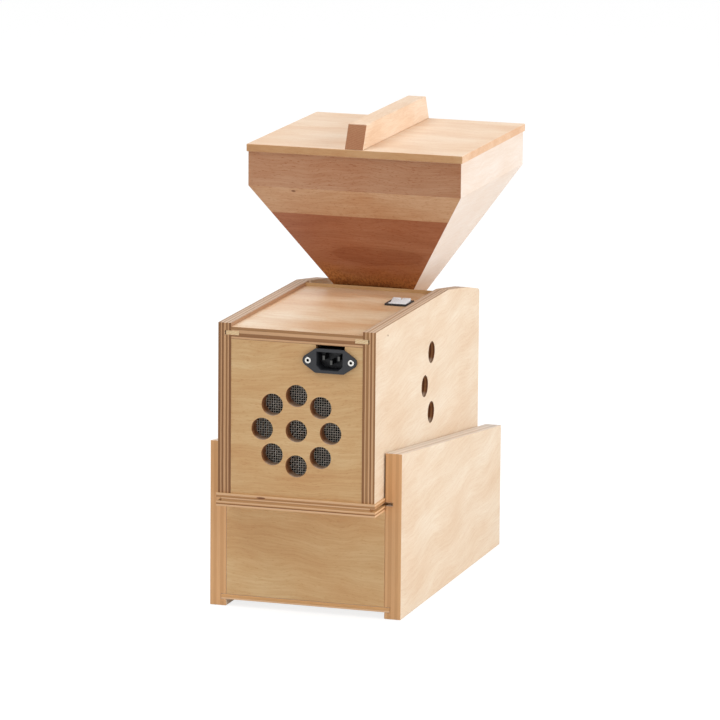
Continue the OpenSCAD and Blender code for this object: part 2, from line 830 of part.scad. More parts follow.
module switch_housing() {
    w = rocker_half_w + switch_side_gap;
    color(black_plastic) difference() {
        union() {
            slab(switch_x - switch_w / 2, switch_x + switch_w / 2, switch_d - switch_len / 2,
                 switch_d + switch_len / 2, board_z, board_z + switch_rim_h);
            slab(switch_x - switch_body_half_w, switch_x + switch_body_half_w,
                 switch_d - switch_body_half_len, switch_d + switch_body_half_len,
                 switch_under, board_z + 0.1);
            for (i = [-1, 1], j = [-1, 1]) {
                slab(switch_x + i * lug_x - 0.4, switch_x + i * lug_x + 0.4, switch_d + j * lug_d - 3,
                     switch_d + j * lug_d + 3, switch_under - lug_len, switch_under + 0.1);
            }
        }
        slab(switch_x - w, switch_x + w, switch_d - cavity_half_len, switch_d + cavity_half_len,
             board_z - 9, board_z + switch_rim_h + cut);
        rod_x(switch_x - switch_body_half_w - cut, switch_x + switch_body_half_w + cut, switch_d, rocker_z,
              rocker_pin_r + 0.06);
    }
}

// The rocker turns on pins in the switch's housing and rests tilted to one side
rocker_z = board_z - 1;

module switch_rocker() {
    foot = rocker_half_len - 4;
    color([0.72, 0.73, 0.74]) translate([switch_x, fy(switch_d), rocker_z]) rotate([-rocker_tilt, 0, 0]) {
        difference() {
            rotate([90, 0, 90]) linear_extrude(2 * rocker_half_w, center = true) {
                polygon([[-rocker_half_len, rocker_edge_h + 1], [0, rocker_edge_h - 0.6],
                         [rocker_half_len, rocker_edge_h + 1], [rocker_half_len, 1.4], [foot, -3.6],
                         [-foot, -3.6], [-rocker_half_len, 1.4]]);
            }
            translate([-0.5, -rocker_half_len - cut, rocker_edge_h - 0.6]) cube([1, rocker_notch + cut, 3]);
        }
        rotate([0, 90, 0]) cylinder(h = 2 * switch_body_half_w - 0.4, r = rocker_pin_r, center = true);
    }
}

clip_wall = 1;
clip_half = 8;
clip_foot = 10;
tag_len = 7;
tag_d = 5;
tag_room = 12.5;
capacitor_d = end_sink + panel_t + clip_foot + capacitor_r + 2.7;
capacitor_x = inner_half - tag_room - tag_len - capacitor_len;
capacitor_z = deck_top + capacitor_r + clip_wall + 0.2;

module run_capacitor() {
    end_x = capacitor_x + capacitor_len;
    color([0.80, 0.80, 0.78]) {
        rod_x(capacitor_x, end_x, capacitor_d, capacitor_z, capacitor_r);
        for (s = [-1, 1]) {
            slab(end_x - 0.1, end_x + tag_len, capacitor_d + s * tag_d - 3, capacitor_d + s * tag_d + 3,
                 capacitor_z - 0.4, capacitor_z + 0.4);
        }
    }
}

module capacitor_clip() {
    x = capacitor_x + capacitor_len / 2;
    reach = capacitor_r + clip_foot;
    color(steel) difference() {
        union() {
            rod_x(x - clip_half, x + clip_half, capacitor_d, capacitor_z, capacitor_r + 0.1 + clip_wall);
            slab(x - clip_half, x + clip_half, capacitor_d - reach, capacitor_d + reach,
                 deck_top, deck_top + clip_wall);
        }
        rod_x(x - clip_half - cut, x + clip_half + cut, capacitor_d, capacitor_z, capacitor_r + 0.1);
    }
}

// Routes of the insulated wires, as x, depth and height
live_z = inlet_z + pin_shift / 2;
earth_z = inlet_z - pin_shift / 2;
lug_end_z = switch_under - lug_len + 0.05;
terminal_z = terminal_top - 3;
tag_x = capacitor_x + capacitor_len + tag_len;
near = -inner_half;
far = inner_half;
wire_routes = [
    [[inlet_x - pin_pitch / 2, tab_front, live_z], [inlet_x - pin_pitch / 2, tab_front + 7, live_z],
     [near + 20.5, 54, 237], [near + 14.5, 74, 230], [near + 10.5, 98, 222],
     [switch_x - lug_x, switch_d - 34, 217],
     [switch_x - lug_x, switch_d - 18, 216], [switch_x - lug_x, switch_d - lug_d - 1, 221],
     [switch_x - lug_x, switch_d - lug_d, lug_end_z]],
    [[inlet_x + pin_pitch / 2, tab_front, live_z], [inlet_x + pin_pitch / 2, tab_front + 7, live_z],
     [near + 34.5, 56, 236], [near + 28.5, 78, 231], [near + 22.5, 102, 226],
     [switch_x + lug_x, switch_d - 32, 221],
     [switch_x + lug_x, switch_d - 17, 218], [switch_x + lug_x, switch_d - lug_d - 1, 222],
     [switch_x + lug_x, switch_d - lug_d, lug_end_z]],
    [[inlet_x, tab_front, earth_z], [inlet_x, tab_front + 7, earth_z], [-29, 54, shell_top + 15],
     [-22, 74, shell_top + 11], [-12, 96, shell_top + 8], [-7, 118, shell_top + 5],
     [-6, terminal_d - 20, terminal_z], [-6, terminal_d - 12, terminal_z]],
    [[switch_x - lug_x, switch_d + lug_d, lug_end_z], [switch_x - lug_x, switch_d + lug_d + 1, 222],
     [near + 13.5, switch_d + 12, shell_top - 2], [near + 23.5, switch_d + 12, shell_top - 5],
     [-27, 164, shell_top - 1],
     [-18, terminal_d + 3, terminal_z],
     [-terminal_half, terminal_d + 3, terminal_z]],
    [[switch_x + lug_x, switch_d + lug_d, lug_end_z], [switch_x + lug_x, switch_d + lug_d, 224],
     [near + 25.5, switch_d + 6, 220], [-27, 157, shell_top + 4], [-18, terminal_d - 4, terminal_z],
     [-terminal_half, terminal_d - 4, terminal_z]],
    [[tag_x, capacitor_d - tag_d, capacitor_z], [tag_x + 5, capacitor_d - tag_d + 1, capacitor_z + 2],
     [far - 4.5, 44, 136], [far - 4.5, 62, 152], [far - 4.5, 86, 172], [far - 5.5, 110, 192],
     [50, 132, 208], [38, 146, 218], [24, terminal_d - 5, terminal_z],
     [terminal_half, terminal_d - 5, terminal_z]],
    [[tag_x, capacitor_d + tag_d, capacitor_z], [tag_x + 5, capacitor_d + tag_d + 2, capacitor_z + 1],
     [far - 4.5, 56, 133], [far - 4.5, 74, 148], [far - 4.5, 98, 168], [far - 5.5, 122, 190],
     [50, 142, 209], [38, 155, 219], [24, terminal_d + 2, terminal_z],
     [terminal_half, terminal_d + 2, terminal_z]]];

function unit(v) = v / norm(v);
function tangent(p, i) = unit(p[min(i + 1, len(p) - 1)] - p[max(i - 1, 0)]);
function side_of(t) = unit(cross(t, abs(t[2]) > 0.9 ? [1, 0, 0] : [0, 0, 1]));
// Carries the side direction from ring to ring without a sudden turn
function carried(p, i) = i == 0 ? side_of(tangent(p, 0))
    : let(t = tangent(p, i), s = carried(p, i - 1)) unit(s - t * (s * t));

module wire_tube(route) {
    sides = 8;
    p = [for (q = route) [q[0], fy(q[1]), q[2]]];
    rings = [for (i = [0 : len(p) - 1]) let(t = tangent(p, i), u = carried(p, i), w = cross(t, u))
             for (k = [0 : sides - 1]) let(a = 360 * k / sides) p[i] + wire_r * (cos(a) * u + sin(a) * w)];
    walls = [for (i = [0 : len(p) - 2], k = [0 : sides - 1]) let(a = i * sides, n = (k + 1) % sides)
             [a + k, a + n, a + sides + n, a + sides + k]];
    polyhedron(points = rings,
               faces = concat(walls, [[for (k = [sides - 1 : -1 : 0]) k]],
                              [[for (k = [0 : sides - 1]) (len(p) - 1) * sides + k]]));
}

module wiring() {
    color([0.25, 0.25, 0.28]) for (route = wire_routes) {
        wire_tube(route);
    }
}

// Shell of the motor with cooling windows at both ends and a terminal block on top
module motor_shell() {
    windows = 12;
    window_inset = 9;
    window_len = 14;
    window_w = 6;
    color([0.35, 0.37, 0.40]) difference() {
        union() {
            rod_y(0, shaft_z, motor_rear, motor_front, motor_r);
            slab(-terminal_half, terminal_half, terminal_d - 12, terminal_d + 12,
                 shell_top - 6, terminal_top);
        }
        rod_y(0, shaft_z, motor_rear - cut, motor_front + cut, motor_r - motor_wall);
        for (i = [0 : windows - 1], d = [motor_rear + window_inset, motor_front - window_inset]) {
            translate([0, fy(d), shaft_z]) rotate([0, 360 * (i + 0.5) / windows, 0]) {
                translate([motor_r - motor_wall - 1, -window_w / 2, -window_len / 2]) {
                    cube([motor_wall + 2, window_w, window_len]);
                }
            }
        }
    }
}

module stator_core() {
    color([0.45, 0.45, 0.47]) {
        ring_y(shaft_z, core_rear, core_front, motor_r - motor_wall - core_gap, rotor_r + air_gap);
    }
}

// End turns of the copper windings on both faces of the core
module stator_windings() {
    r_in = rotor_r + air_gap + 3;
    r_out = motor_r - motor_wall - 4;
    color([0.72, 0.38, 0.20]) for (d = [core_rear - winding_t, core_front]) {
        translate([0, fy(d), shaft_z]) rotate([90, 0, 0]) rotate_extrude() {
            translate([r_in, 0]) square([r_out - r_in, winding_t]);
        }
    }
}

module motor_rear_shield() {
    rear = motor_rear - rear_shield_t;
    seat = motor_rear - bearing_w;
    hole_ring = 33;
    hole_r = 6.5;
    color(cast_metal) difference() {
        union() {
            rod_y(0, shaft_z, rear, motor_rear, cowl_r - cowl_wall - core_gap);
            rod_y(0, shaft_z, motor_rear - cowl_lap, motor_rear, motor_r);
        }
        rod_y(0, shaft_z, seat, motor_rear + cut, bearing_r + fit);
        rod_y(0, shaft_z, rear - cut, seat + cut, shaft_r + 3);
        for (i = [0 : 5]) {
            rod_y(hole_ring * cos(60 * i), shaft_z + hole_ring * sin(60 * i), rear - cut, motor_rear + cut,
                  hole_r);
        }
    }
}

// Four bolt holes of the square flange
module flange_bolt_holes(d0, d1) {
    for (i = [-1, 1], j = [-1, 1]) {
        rod_y(i * flange_bolt, shaft_z + j * flange_bolt, d0 - cut, d1 + cut, bolt_r + bolt_gap);
    }
}

module motor_front_shield() {
    seat = motor_front + bearing_w;
    color(cast_metal) difference() {
        union() {
            rod_y(0, shaft_z, motor_front, motor_front + shield_step, motor_r);
            slab(-flange_half, flange_half, motor_front + shield_step, bulkhead_d,
                 shaft_z - flange_half, shaft_z + flange_half);
        }
        rod_y(0, shaft_z, motor_front - cut, seat, bearing_r + fit);
        rod_y(0, shaft_z, seat - cut, bulkhead_d + cut, shaft_r + 3);
        flange_bolt_holes(motor_front + shield_step, bulkhead_d);
    }
}

// Hexagon bolts that clamp chamber, bulkhead and motor together
module flange_bolts() {
    head_h = 4;
    color(steel) for (i = [-1, 1], j = [-1, 1]) {
        rod_y(i * flange_bolt, shaft_z + j * flange_bolt, motor_front + shield_step + 1, plate_front + 0.1,
              bolt_r);
        translate([i * flange_bolt, fy(plate_front), shaft_z + j * flange_bolt]) rotate([90, 0, 0]) {
            cylinder(h = head_h, r = bolt_r * 1.9, $fn = 6);
        }
    }
}

// Ball bearings of the shaft, with the recess of the shield between their rings
module motor_bearings() {
    color("silver") for (d = [motor_rear - bearing_w, motor_front]) {
        difference() {
            ring_y(shaft_z, d, d + bearing_w, bearing_r, shaft_r + fit);
            ring_y(shaft_z, d - cut, d + 0.8, bearing_r - 2.5, shaft_r + 2.5);
            ring_y(shaft_z, d + bearing_w - 0.8, d + bearing_w + cut, bearing_r - 2.5, shaft_r + 2.5);
        }
    }
}

module fan_cowl() {
    color([0.30, 0.31, 0.33]) difference() {
        rod_y(0, shaft_z, cowl_rear, motor_rear - cowl_lap, cowl_r);
        rod_y(0, shaft_z, cowl_rear + cowl_wall, motor_rear - cowl_lap + cut, cowl_r - cowl_wall);
        rod_y(0, shaft_z, cowl_rear - cut, cowl_rear + cowl_wall + cut, fan_r * 0.65);
    }
}

// Chamber round the stones, with a square flange and an outlet down through the deck
module grinding_chamber() {
    w = outlet_w / 2;
    color(cast_metal) difference() {
        union() {
            slab(-flange_half, flange_half, bulkhead_front, plate_front,
                 shaft_z - flange_half, shaft_z + flange_half);
            rod_y(0, shaft_z, plate_front - 0.1, chamber_front, chamber_out_r);
            slab(-w - chamber_wall, w + chamber_wall,
                 outlet_rear - chamber_wall, outlet_front + chamber_wall,
                 deck_z - 1, shaft_z - chamber_r + 4);
        }
        rod_y(0, shaft_z, plate_front, chamber_front + cut, chamber_r);
        slab(-w, w, outlet_rear, outlet_front, deck_z - 2, shaft_z - chamber_r + outlet_mouth);
        rod_y(0, shaft_z, bulkhead_front - cut, plate_front + cut, shaft_r + 2);
        flange_bolt_holes(bulkhead_front, plate_front);
    }
}

// Chute of sheet metal from the shelf forward and down into the feed elbow
module feed_chute() {
    knee_rear = shelf_z - (chute_rear - chute_top_rear) * tan(chute_slope);
    knee_front = shelf_z - (chute_front - chute_top_front) * tan(chute_slope);
    w = chute_wall;
    color(steel) difference() {
        union() {
            prism_x(-chute_half, chute_half) {
                polygon([[fy(chute_top_rear), shelf_z], [fy(chute_top_front), shelf_z],
                         [fy(chute_front), knee_front], [fy(chute_front), chute_under],
                         [fy(chute_rear), chute_under], [fy(chute_rear), knee_rear]]);
            }
            slab(-chute_half - 6, chute_half + 6, chute_top_rear - 4, chute_top_front + 6,
                 shelf_z - 1, shelf_z);
        }
        prism_x(-chute_half + w, chute_half - w) {
            polygon([[fy(chute_top_rear + w), shelf_z + cut], [fy(chute_top_front - w / 2), shelf_z + cut],
                     [fy(chute_front - w), knee_front + w / 2], [fy(chute_front - w), chute_under - cut],
                     [fy(chute_rear + w), chute_under - cut], [fy(chute_rear + w), knee_rear + w / 2]]);
        }
    }
}

module knob_bush() {
    color([0.80, 0.66, 0.34]) difference() {
        union() {
            rod_y(0, shaft_z, panel_front, panel_front + bush_flange_t, bush_r);
            rod_y(0, shaft_z, front_back, panel_front + 0.1, spindle_r + 2.4);
        }
        rod_y(0, shaft_z, front_back - cut, panel_front + bush_flange_t + cut, spindle_r + spindle_gap);
    }
}

module motor_shaft() {
    color("silver") rod_y(0, shaft_z, shaft_rear, shaft_front, shaft_r);
}

module rotor_core() {
    color([0.50, 0.50, 0.52]) ring_y(shaft_z, core_rear, core_front, rotor_r, shaft_r + fit);
}

module cooling_fan() {
    plate = 2;
    depth = fan_len - plate;
    color([0.15, 0.15, 0.16]) difference() {
        union() {
            rod_y(0, shaft_z, fan_rear, fan_rear + depth + plate, shaft_r + 4);
            rod_y(0, shaft_z, fan_rear + depth, fan_rear + depth + plate, fan_r);
            for (i = [0 : fan_blades - 1]) {
                translate([0, fy(fan_rear + depth + 0.1), shaft_z]) rotate([0, 360 * i / fan_blades, 0]) {
                    translate([shaft_r + 3, 0, -1]) cube([fan_r - shaft_r - 3, depth - 1, 2]);
                }
            }
        }
        rod_y(0, shaft_z, fan_rear - cut, fan_rear + depth + plate + cut, shaft_r + fit);
    }
}

// Disc and hub that carry the runner stone on the shaft
module runner_holder() {
    color(cast_metal) difference() {
        union() {
            rod_y(0, shaft_z, holder_rear, runner_rear, stone_r - 4.5);
            rod_y(0, shaft_z, holder_rear, runner_rear + hub_len, hub_r);
        }
        rod_y(0, shaft_z, holder_rear - cut, runner_front, shaft_r + fit);
    }
}

// Furrows that lead the meal outwards between the stones
module furrow_cuts(d, turn) {
    for (i = [0 : furrows - 1]) {
        translate([0, fy(d), shaft_z]) rotate([0, 360 * i / furrows, 0]) {
            translate([eye_r - 3, -furrow_deep, turn * 5 - furrow_w / 2]) {
                cube([stone_r - eye_r + 6, 2 * furrow_deep, furrow_w]);
            }
        }
    }
}

module runner_stone() {
    color([0.80, 0.78, 0.73]) difference() {
        ring_y(shaft_z, runner_rear, runner_front, stone_r, hub_r + fit);
        furrow_cuts(runner_front, 1);
    }
}

module fixed_stone() {
    color([0.80, 0.78, 0.73]) difference() {
        ring_y(shaft_z, fixed_rear, fixed_front, stone_r, eye_r);
        furrow_cuts(fixed_rear, -1);
    }
}

// Auger on the end of the shaft that draws the grain through the eye of the fixed stone
module feed_auger() {
    length = auger_front - shaft_front;
    core_r = 6;
    start = 4;
    bare_ends = 6;
    color(steel) translate([0, fy(shaft_front), shaft_z]) rotate([90, 0, 0]) {
        cylinder(h = length, r = core_r);
        translate([0, 0, start]) linear_extrude(length - bare_ends, twist = -700, slices = 48, $fn = 6) {
            translate([-flight_t / 2, 0]) square([flight_t, auger_r]);
        }
    }
}

// Disc that holds the fixed stone, in one casting with the feed elbow in front of it
module stone_carrier() {
    out = elbow_half + elbow_wall;
    color(cast_metal) difference() {
        union() {
            rod_y(0, shaft_z, fixed_front, carrier_front, chamber_r - carrier_gap);
            slab(-out, out, carrier_front - 0.1, elbow_front, elbow_under - elbow_wall, elbow_top);
        }
        rod_y(0, shaft_z, fixed_front - cut, carrier_front + cut, eye_r);
        slab(-elbow_half, elbow_half, carrier_front, elbow_front - elbow_wall, elbow_under, elbow_top + cut);
    }
}

// Threaded spindle from the carrier through the front panel into the knob
module adjusting_spindle() {
    color("silver") {
        rod_y(0, shaft_z, elbow_front, elbow_front + 2.5, spindle_r + 4);
        rod_y(0, shaft_z, elbow_front, spindle_front, spindle_r);
    }
}

// Turned wooden knob with a pointer groove in its face
module adjusting_knob() {
    color(beech) difference() {
        translate([0, fy(knob_rear), shaft_z]) rotate([90, 0, 0]) rotate_extrude() {
            polygon([[0, 0], [knob_r - 3, 0], [knob_r - 1, 3], [knob_r, 8], [knob_r, knob_len - 5],
                     [knob_r - 1.5, knob_len - 1.5], [knob_r - 5, knob_len], [0, knob_len]]);
        }
        rod_y(0, shaft_z, knob_rear - cut, knob_front - 3, spindle_r + spindle_gap);
        slab(-1, 1, knob_front - 1, knob_front + cut, shaft_z + knob_r * 0.35, shaft_z + knob_r + cut);
    }
}

module drawer_front() {
    color(plywood) difference() {
        slab(-drawer_half, drawer_half, drawer_front_d, base_front, drawer_under, deck_z - drawer_gap);
        drawer_bottom_space();
        rod_y(0, drawer_knob_z, drawer_front_d - cut, base_front + cut, screw_r + pilot_gap);
    }
}

// Space that the drawer's bottom takes in the grooves of the boards round it
module drawer_bottom_space() {
    w = drawer_half - drawer_side_t + drawer_groove;
    slab(-w, w, drawer_rear + drawer_side_t - drawer_groove, drawer_front_d + drawer_groove,
         drawer_bottom_z, drawer_bottom_z + drawer_bottom_t);
}

module drawer_sides() {
    color(beech) difference() {
        both_sides() {
            slab(drawer_half - drawer_side_t, drawer_half, drawer_rear, drawer_front_d,
                 drawer_under, drawer_under + drawer_h);
        }
        drawer_bottom_space();
    }
}

module drawer_back() {
    w = drawer_half - drawer_side_t;
    color(beech) difference() {
        slab(-w, w, drawer_rear, drawer_rear + drawer_side_t, drawer_under, drawer_under + drawer_h);
        drawer_bottom_space();
    }
}

module drawer_bottom() {
    color(plywood) drawer_bottom_space();
}

// Turned knob whose wooden screw goes through the drawer's front
module drawer_knob() {
    r = drawer_knob_r;
    color(beech) {
        translate([0, fy(base_front), drawer_knob_z]) rotate([90, 0, 0]) rotate_extrude() {
            polygon([[0, 0], [r * 0.55, 0], [r * 0.5, drawer_knob_len * 0.35], [r, drawer_knob_len * 0.6],
                     [r, drawer_knob_len * 0.85], [r * 0.8, drawer_knob_len], [0, drawer_knob_len]]);
        }
        rod_y(0, drawer_knob_z, drawer_front_d, base_front + 0.1, screw_r);
    }
}

// One board of the hopper, mitred to its neighbours along the diagonals
module hopper_board_at(turn) {
    inner_top = hopper_out(hopper_top_z) - hopper_wall;
    outlet = hopper_outlet / 2;
    inner_z = neck_z + (outlet + hopper_wall - hopper_neck_w / 2) / hopper_rise;
    reach = hopper_half + 10;
    translate([0, fy(hopper_d), 0]) rotate([0, 0, turn]) intersection() {
        prism_x(-reach, reach) {
            polygon([[hopper_out(hopper_bottom_z), hopper_bottom_z], [hopper_half, band_z],
                     [hopper_half, hopper_top_z], [inner_top, hopper_top_z], [outlet, inner_z],
                     [outlet, hopper_bottom_z]]);
        }
        linear_extrude(hopper_top_z + 1) polygon([[0, 0], [reach, reach], [-reach, reach]]);
    }
}

module hopper_rear_board() {
    color(beech) hopper_board_at(0);
}

module hopper_left_board() {
    color(beech) hopper_board_at(90);
}

module hopper_front_board() {
    color(beech) hopper_board_at(180);
}

module hopper_right_board() {
    color(beech) hopper_board_at(270);
}

lid_half = hopper_half + lid_over;
lid_top = hopper_top_z + lid_t;

module lid_board() {
    color(beech) slab(-lid_half, lid_half, hopper_d - lid_half, hopper_d + lid_half, hopper_top_z, lid_top);
}

// The grip runs over the whole lid from rear to front, with leaning ends
module lid_grip() {
    color(beech) prism_x(-grip_w / 2, grip_w / 2) {
        polygon([[fy(hopper_d - lid_half), lid_top], [fy(hopper_d + lid_half), lid_top],
                 [fy(hopper_d + lid_half - grip_lean), lid_top + grip_h],
                 [fy(hopper_d - lid_half + grip_lean), lid_top + grip_h]]);
    }
}

// Battens under the lid keep it flat and centre it in the hopper's mouth
module lid_battens() {
    batten_h = 8;
    batten_w = 12;
    out = hopper_out(hopper_top_z - batten_h) - hopper_wall - 2;
    color(beech) both_sides() {
        slab(out - batten_w, out, hopper_d - hopper_half * 0.7, hopper_d + hopper_half * 0.7,
             hopper_top_z - batten_h, hopper_top_z);
    }
}

left_side_panel();
right_side_panel();
rear_panel();
front_panel();
switch_panel();
bulkhead();
hopper_board_sloped();
hopper_shelf();
panel_splines();
panel_brads();
deck();
base_left_side();
base_right_side();
base_rear_panel();
base_bottom_board();
deck_splines();
deck_screws();
vent_screen();
inlet_socket();
inlet_pins();
inlet_rivets();
switch_housing();
run_capacitor();
capacitor_clip();
wiring();
motor_shell();
stator_core();
stator_windings();
motor_rear_shield();
motor_front_shield();
flange_bolts();
motor_bearings();
fan_cowl();
grinding_chamber();
feed_chute();
knob_bush();
motor_shaft();
rotor_core();
cooling_fan();
runner_holder();
runner_stone();
feed_auger();
fixed_stone();
stone_carrier();
adjusting_spindle();
adjusting_knob();
switch_rocker();
drawer_front();
drawer_sides();
drawer_back();
drawer_bottom();
drawer_knob();
hopper_rear_board();
hopper_front_board();
hopper_left_board();
hopper_right_board();
lid_board();
lid_grip();
lid_battens();
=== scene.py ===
import json
import math

import bmesh
import bpy
from bpy.props import FloatProperty, FloatVectorProperty, IntProperty, PointerProperty
from mathutils import Matrix, Vector


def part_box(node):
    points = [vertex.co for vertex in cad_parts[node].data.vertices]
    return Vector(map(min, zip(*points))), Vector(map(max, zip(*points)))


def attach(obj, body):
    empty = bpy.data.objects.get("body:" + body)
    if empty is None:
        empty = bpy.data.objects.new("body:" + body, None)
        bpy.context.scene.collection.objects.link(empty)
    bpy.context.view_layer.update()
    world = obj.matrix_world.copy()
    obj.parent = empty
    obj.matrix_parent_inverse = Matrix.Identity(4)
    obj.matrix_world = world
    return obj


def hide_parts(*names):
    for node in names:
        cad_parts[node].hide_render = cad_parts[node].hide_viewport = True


bl_info = {
    "name": "Stone grain mill",
    "version": (1, 0, 0),
    "blender": (4, 5, 0),
    "location": "View3D > Sidebar > Mill",
    "description": "Dresses the frame of a stone grain mill in plywood, beech, plastic and metal",
    "category": "Object",
}

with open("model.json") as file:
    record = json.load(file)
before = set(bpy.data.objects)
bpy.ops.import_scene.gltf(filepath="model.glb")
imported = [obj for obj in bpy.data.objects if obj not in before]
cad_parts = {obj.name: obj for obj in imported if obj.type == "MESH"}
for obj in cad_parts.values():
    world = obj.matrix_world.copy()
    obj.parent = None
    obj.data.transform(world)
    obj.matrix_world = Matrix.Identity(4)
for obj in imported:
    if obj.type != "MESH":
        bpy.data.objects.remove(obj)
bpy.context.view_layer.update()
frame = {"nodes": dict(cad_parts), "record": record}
BODY_OF = {n: body for body, nodes in frame["record"]["behaviour"]["bodies"].items() for n in nodes}
AXES = "xyz"
MM = 1000.0  # millimetres in a metre

# One finish gives way to the next where this much of the normal points along an axis
FACING = (0.6, 0.85)

# How far a board's seed moves its pattern, in millimetres
SEED_SHIFT = (37.0, 53.0, 71.0)

# Height of the glue line in the hopper's rear board, in millimetres
GLUE_LINE = 335.8

# Marks in the wood: low and high x, low and high z, in millimetres. On the deck, the short mark is
# a void and the long one a line of painted shade along the spline groove.
DECK_VOID_AND_GROOVE_SHADE = ((28.2, 36.4, 108.2, 109.9), (-95, 95, 100.9, 101.5))
HOPPER_KNOT = ((56.5, 60.5, 358.2, 359.8),)

# The photograph's camera, in metres and millimetres of lens
CAMERA_PLACE = (-1.511, 4.7776, 1.2037)
CAMERA_LOOK = (0.29548, -0.93503, -0.19595)
CAMERA_RIGHT = (-0.95296, -0.30295, 0.00861)
CAMERA_LENS = 278.185
CAMERA_SENSOR = 36.0


# Node trees and shader maths


class Value:
    """A socket of a node tree. Python's operators on it add Math nodes."""

    def __init__(self, tree, socket):
        self.tree, self.socket = tree, socket

    def math(self, operation, *others):
        terms = dict(enumerate((self, *others)))
        return self.tree.add("ShaderNodeMath", {"operation": operation}, terms)

    def out(self, name):
        """Another output of the same node."""
        return Value(self.tree, self.socket.node.outputs[name])

    def __add__(self, other):
        return self.math("ADD", other)

    def __sub__(self, other):
        return self.math("SUBTRACT", other)

    def __rsub__(self, other):
        return self * -1 + other

    def __mul__(self, other):
        return self.math("MULTIPLY", other)

    def __truediv__(self, other):
        return self.math("DIVIDE", other)

    def __pow__(self, other):
        return self.math("POWER", other)

    def __abs__(self):
        return self.math("ABSOLUTE")

    __radd__ = __add__
    __rmul__ = __mul__

    def step(self, low, high):
        """0 below low, 1 above high, smooth between; the other way round if low is above high."""
        if low > high:
            return 1 - self.step(high, low)
        ranges = {0: self, 1: low, 2: high, 3: 0.0, 4: 1.0}
        return self.tree.add("ShaderNodeMapRange", {"interpolation_type": "SMOOTHSTEP"}, ranges)

    def mix(self, off, on):
        """The colour off where the value is 0 and on where it is 1."""
        return self.tree.add("ShaderNodeMix", {"data_type": "RGBA"}, {0: self, 6: off, 7: on}, 2)


class Tree:
    """A node tree, with one method that adds any node."""

    def __init__(self, tree):
        self.nodes, self.links = tree.nodes, tree.links

    def add(self, kind, settings=None, inputs=None, output=0):
        """Adds a node. Its settings come first, then the values or links of its sockets."""
        node = self.nodes.new(kind)
        for key, value in (settings or {}).items():
            if key == "stops":
                ramp = node.color_ramp
                while len(ramp.elements) < len(value):
                    ramp.elements.new(0.5)
                for element, (place, colour) in zip(ramp.elements, value):
                    element.position = place
                    element.color = (*colour, 1)
            else:
                setattr(node, key, value)
        for key, value in (inputs or {}).items():
            socket = node.inputs[key]
            if isinstance(value, Value):
                self.links.new(value.socket, socket)
            elif socket.type == "RGBA" and len(value) == 3:
                socket.default_value = (*value, 1)
            else:
                socket.default_value = value
        return Value(self, node.outputs[output]) if node.outputs else None


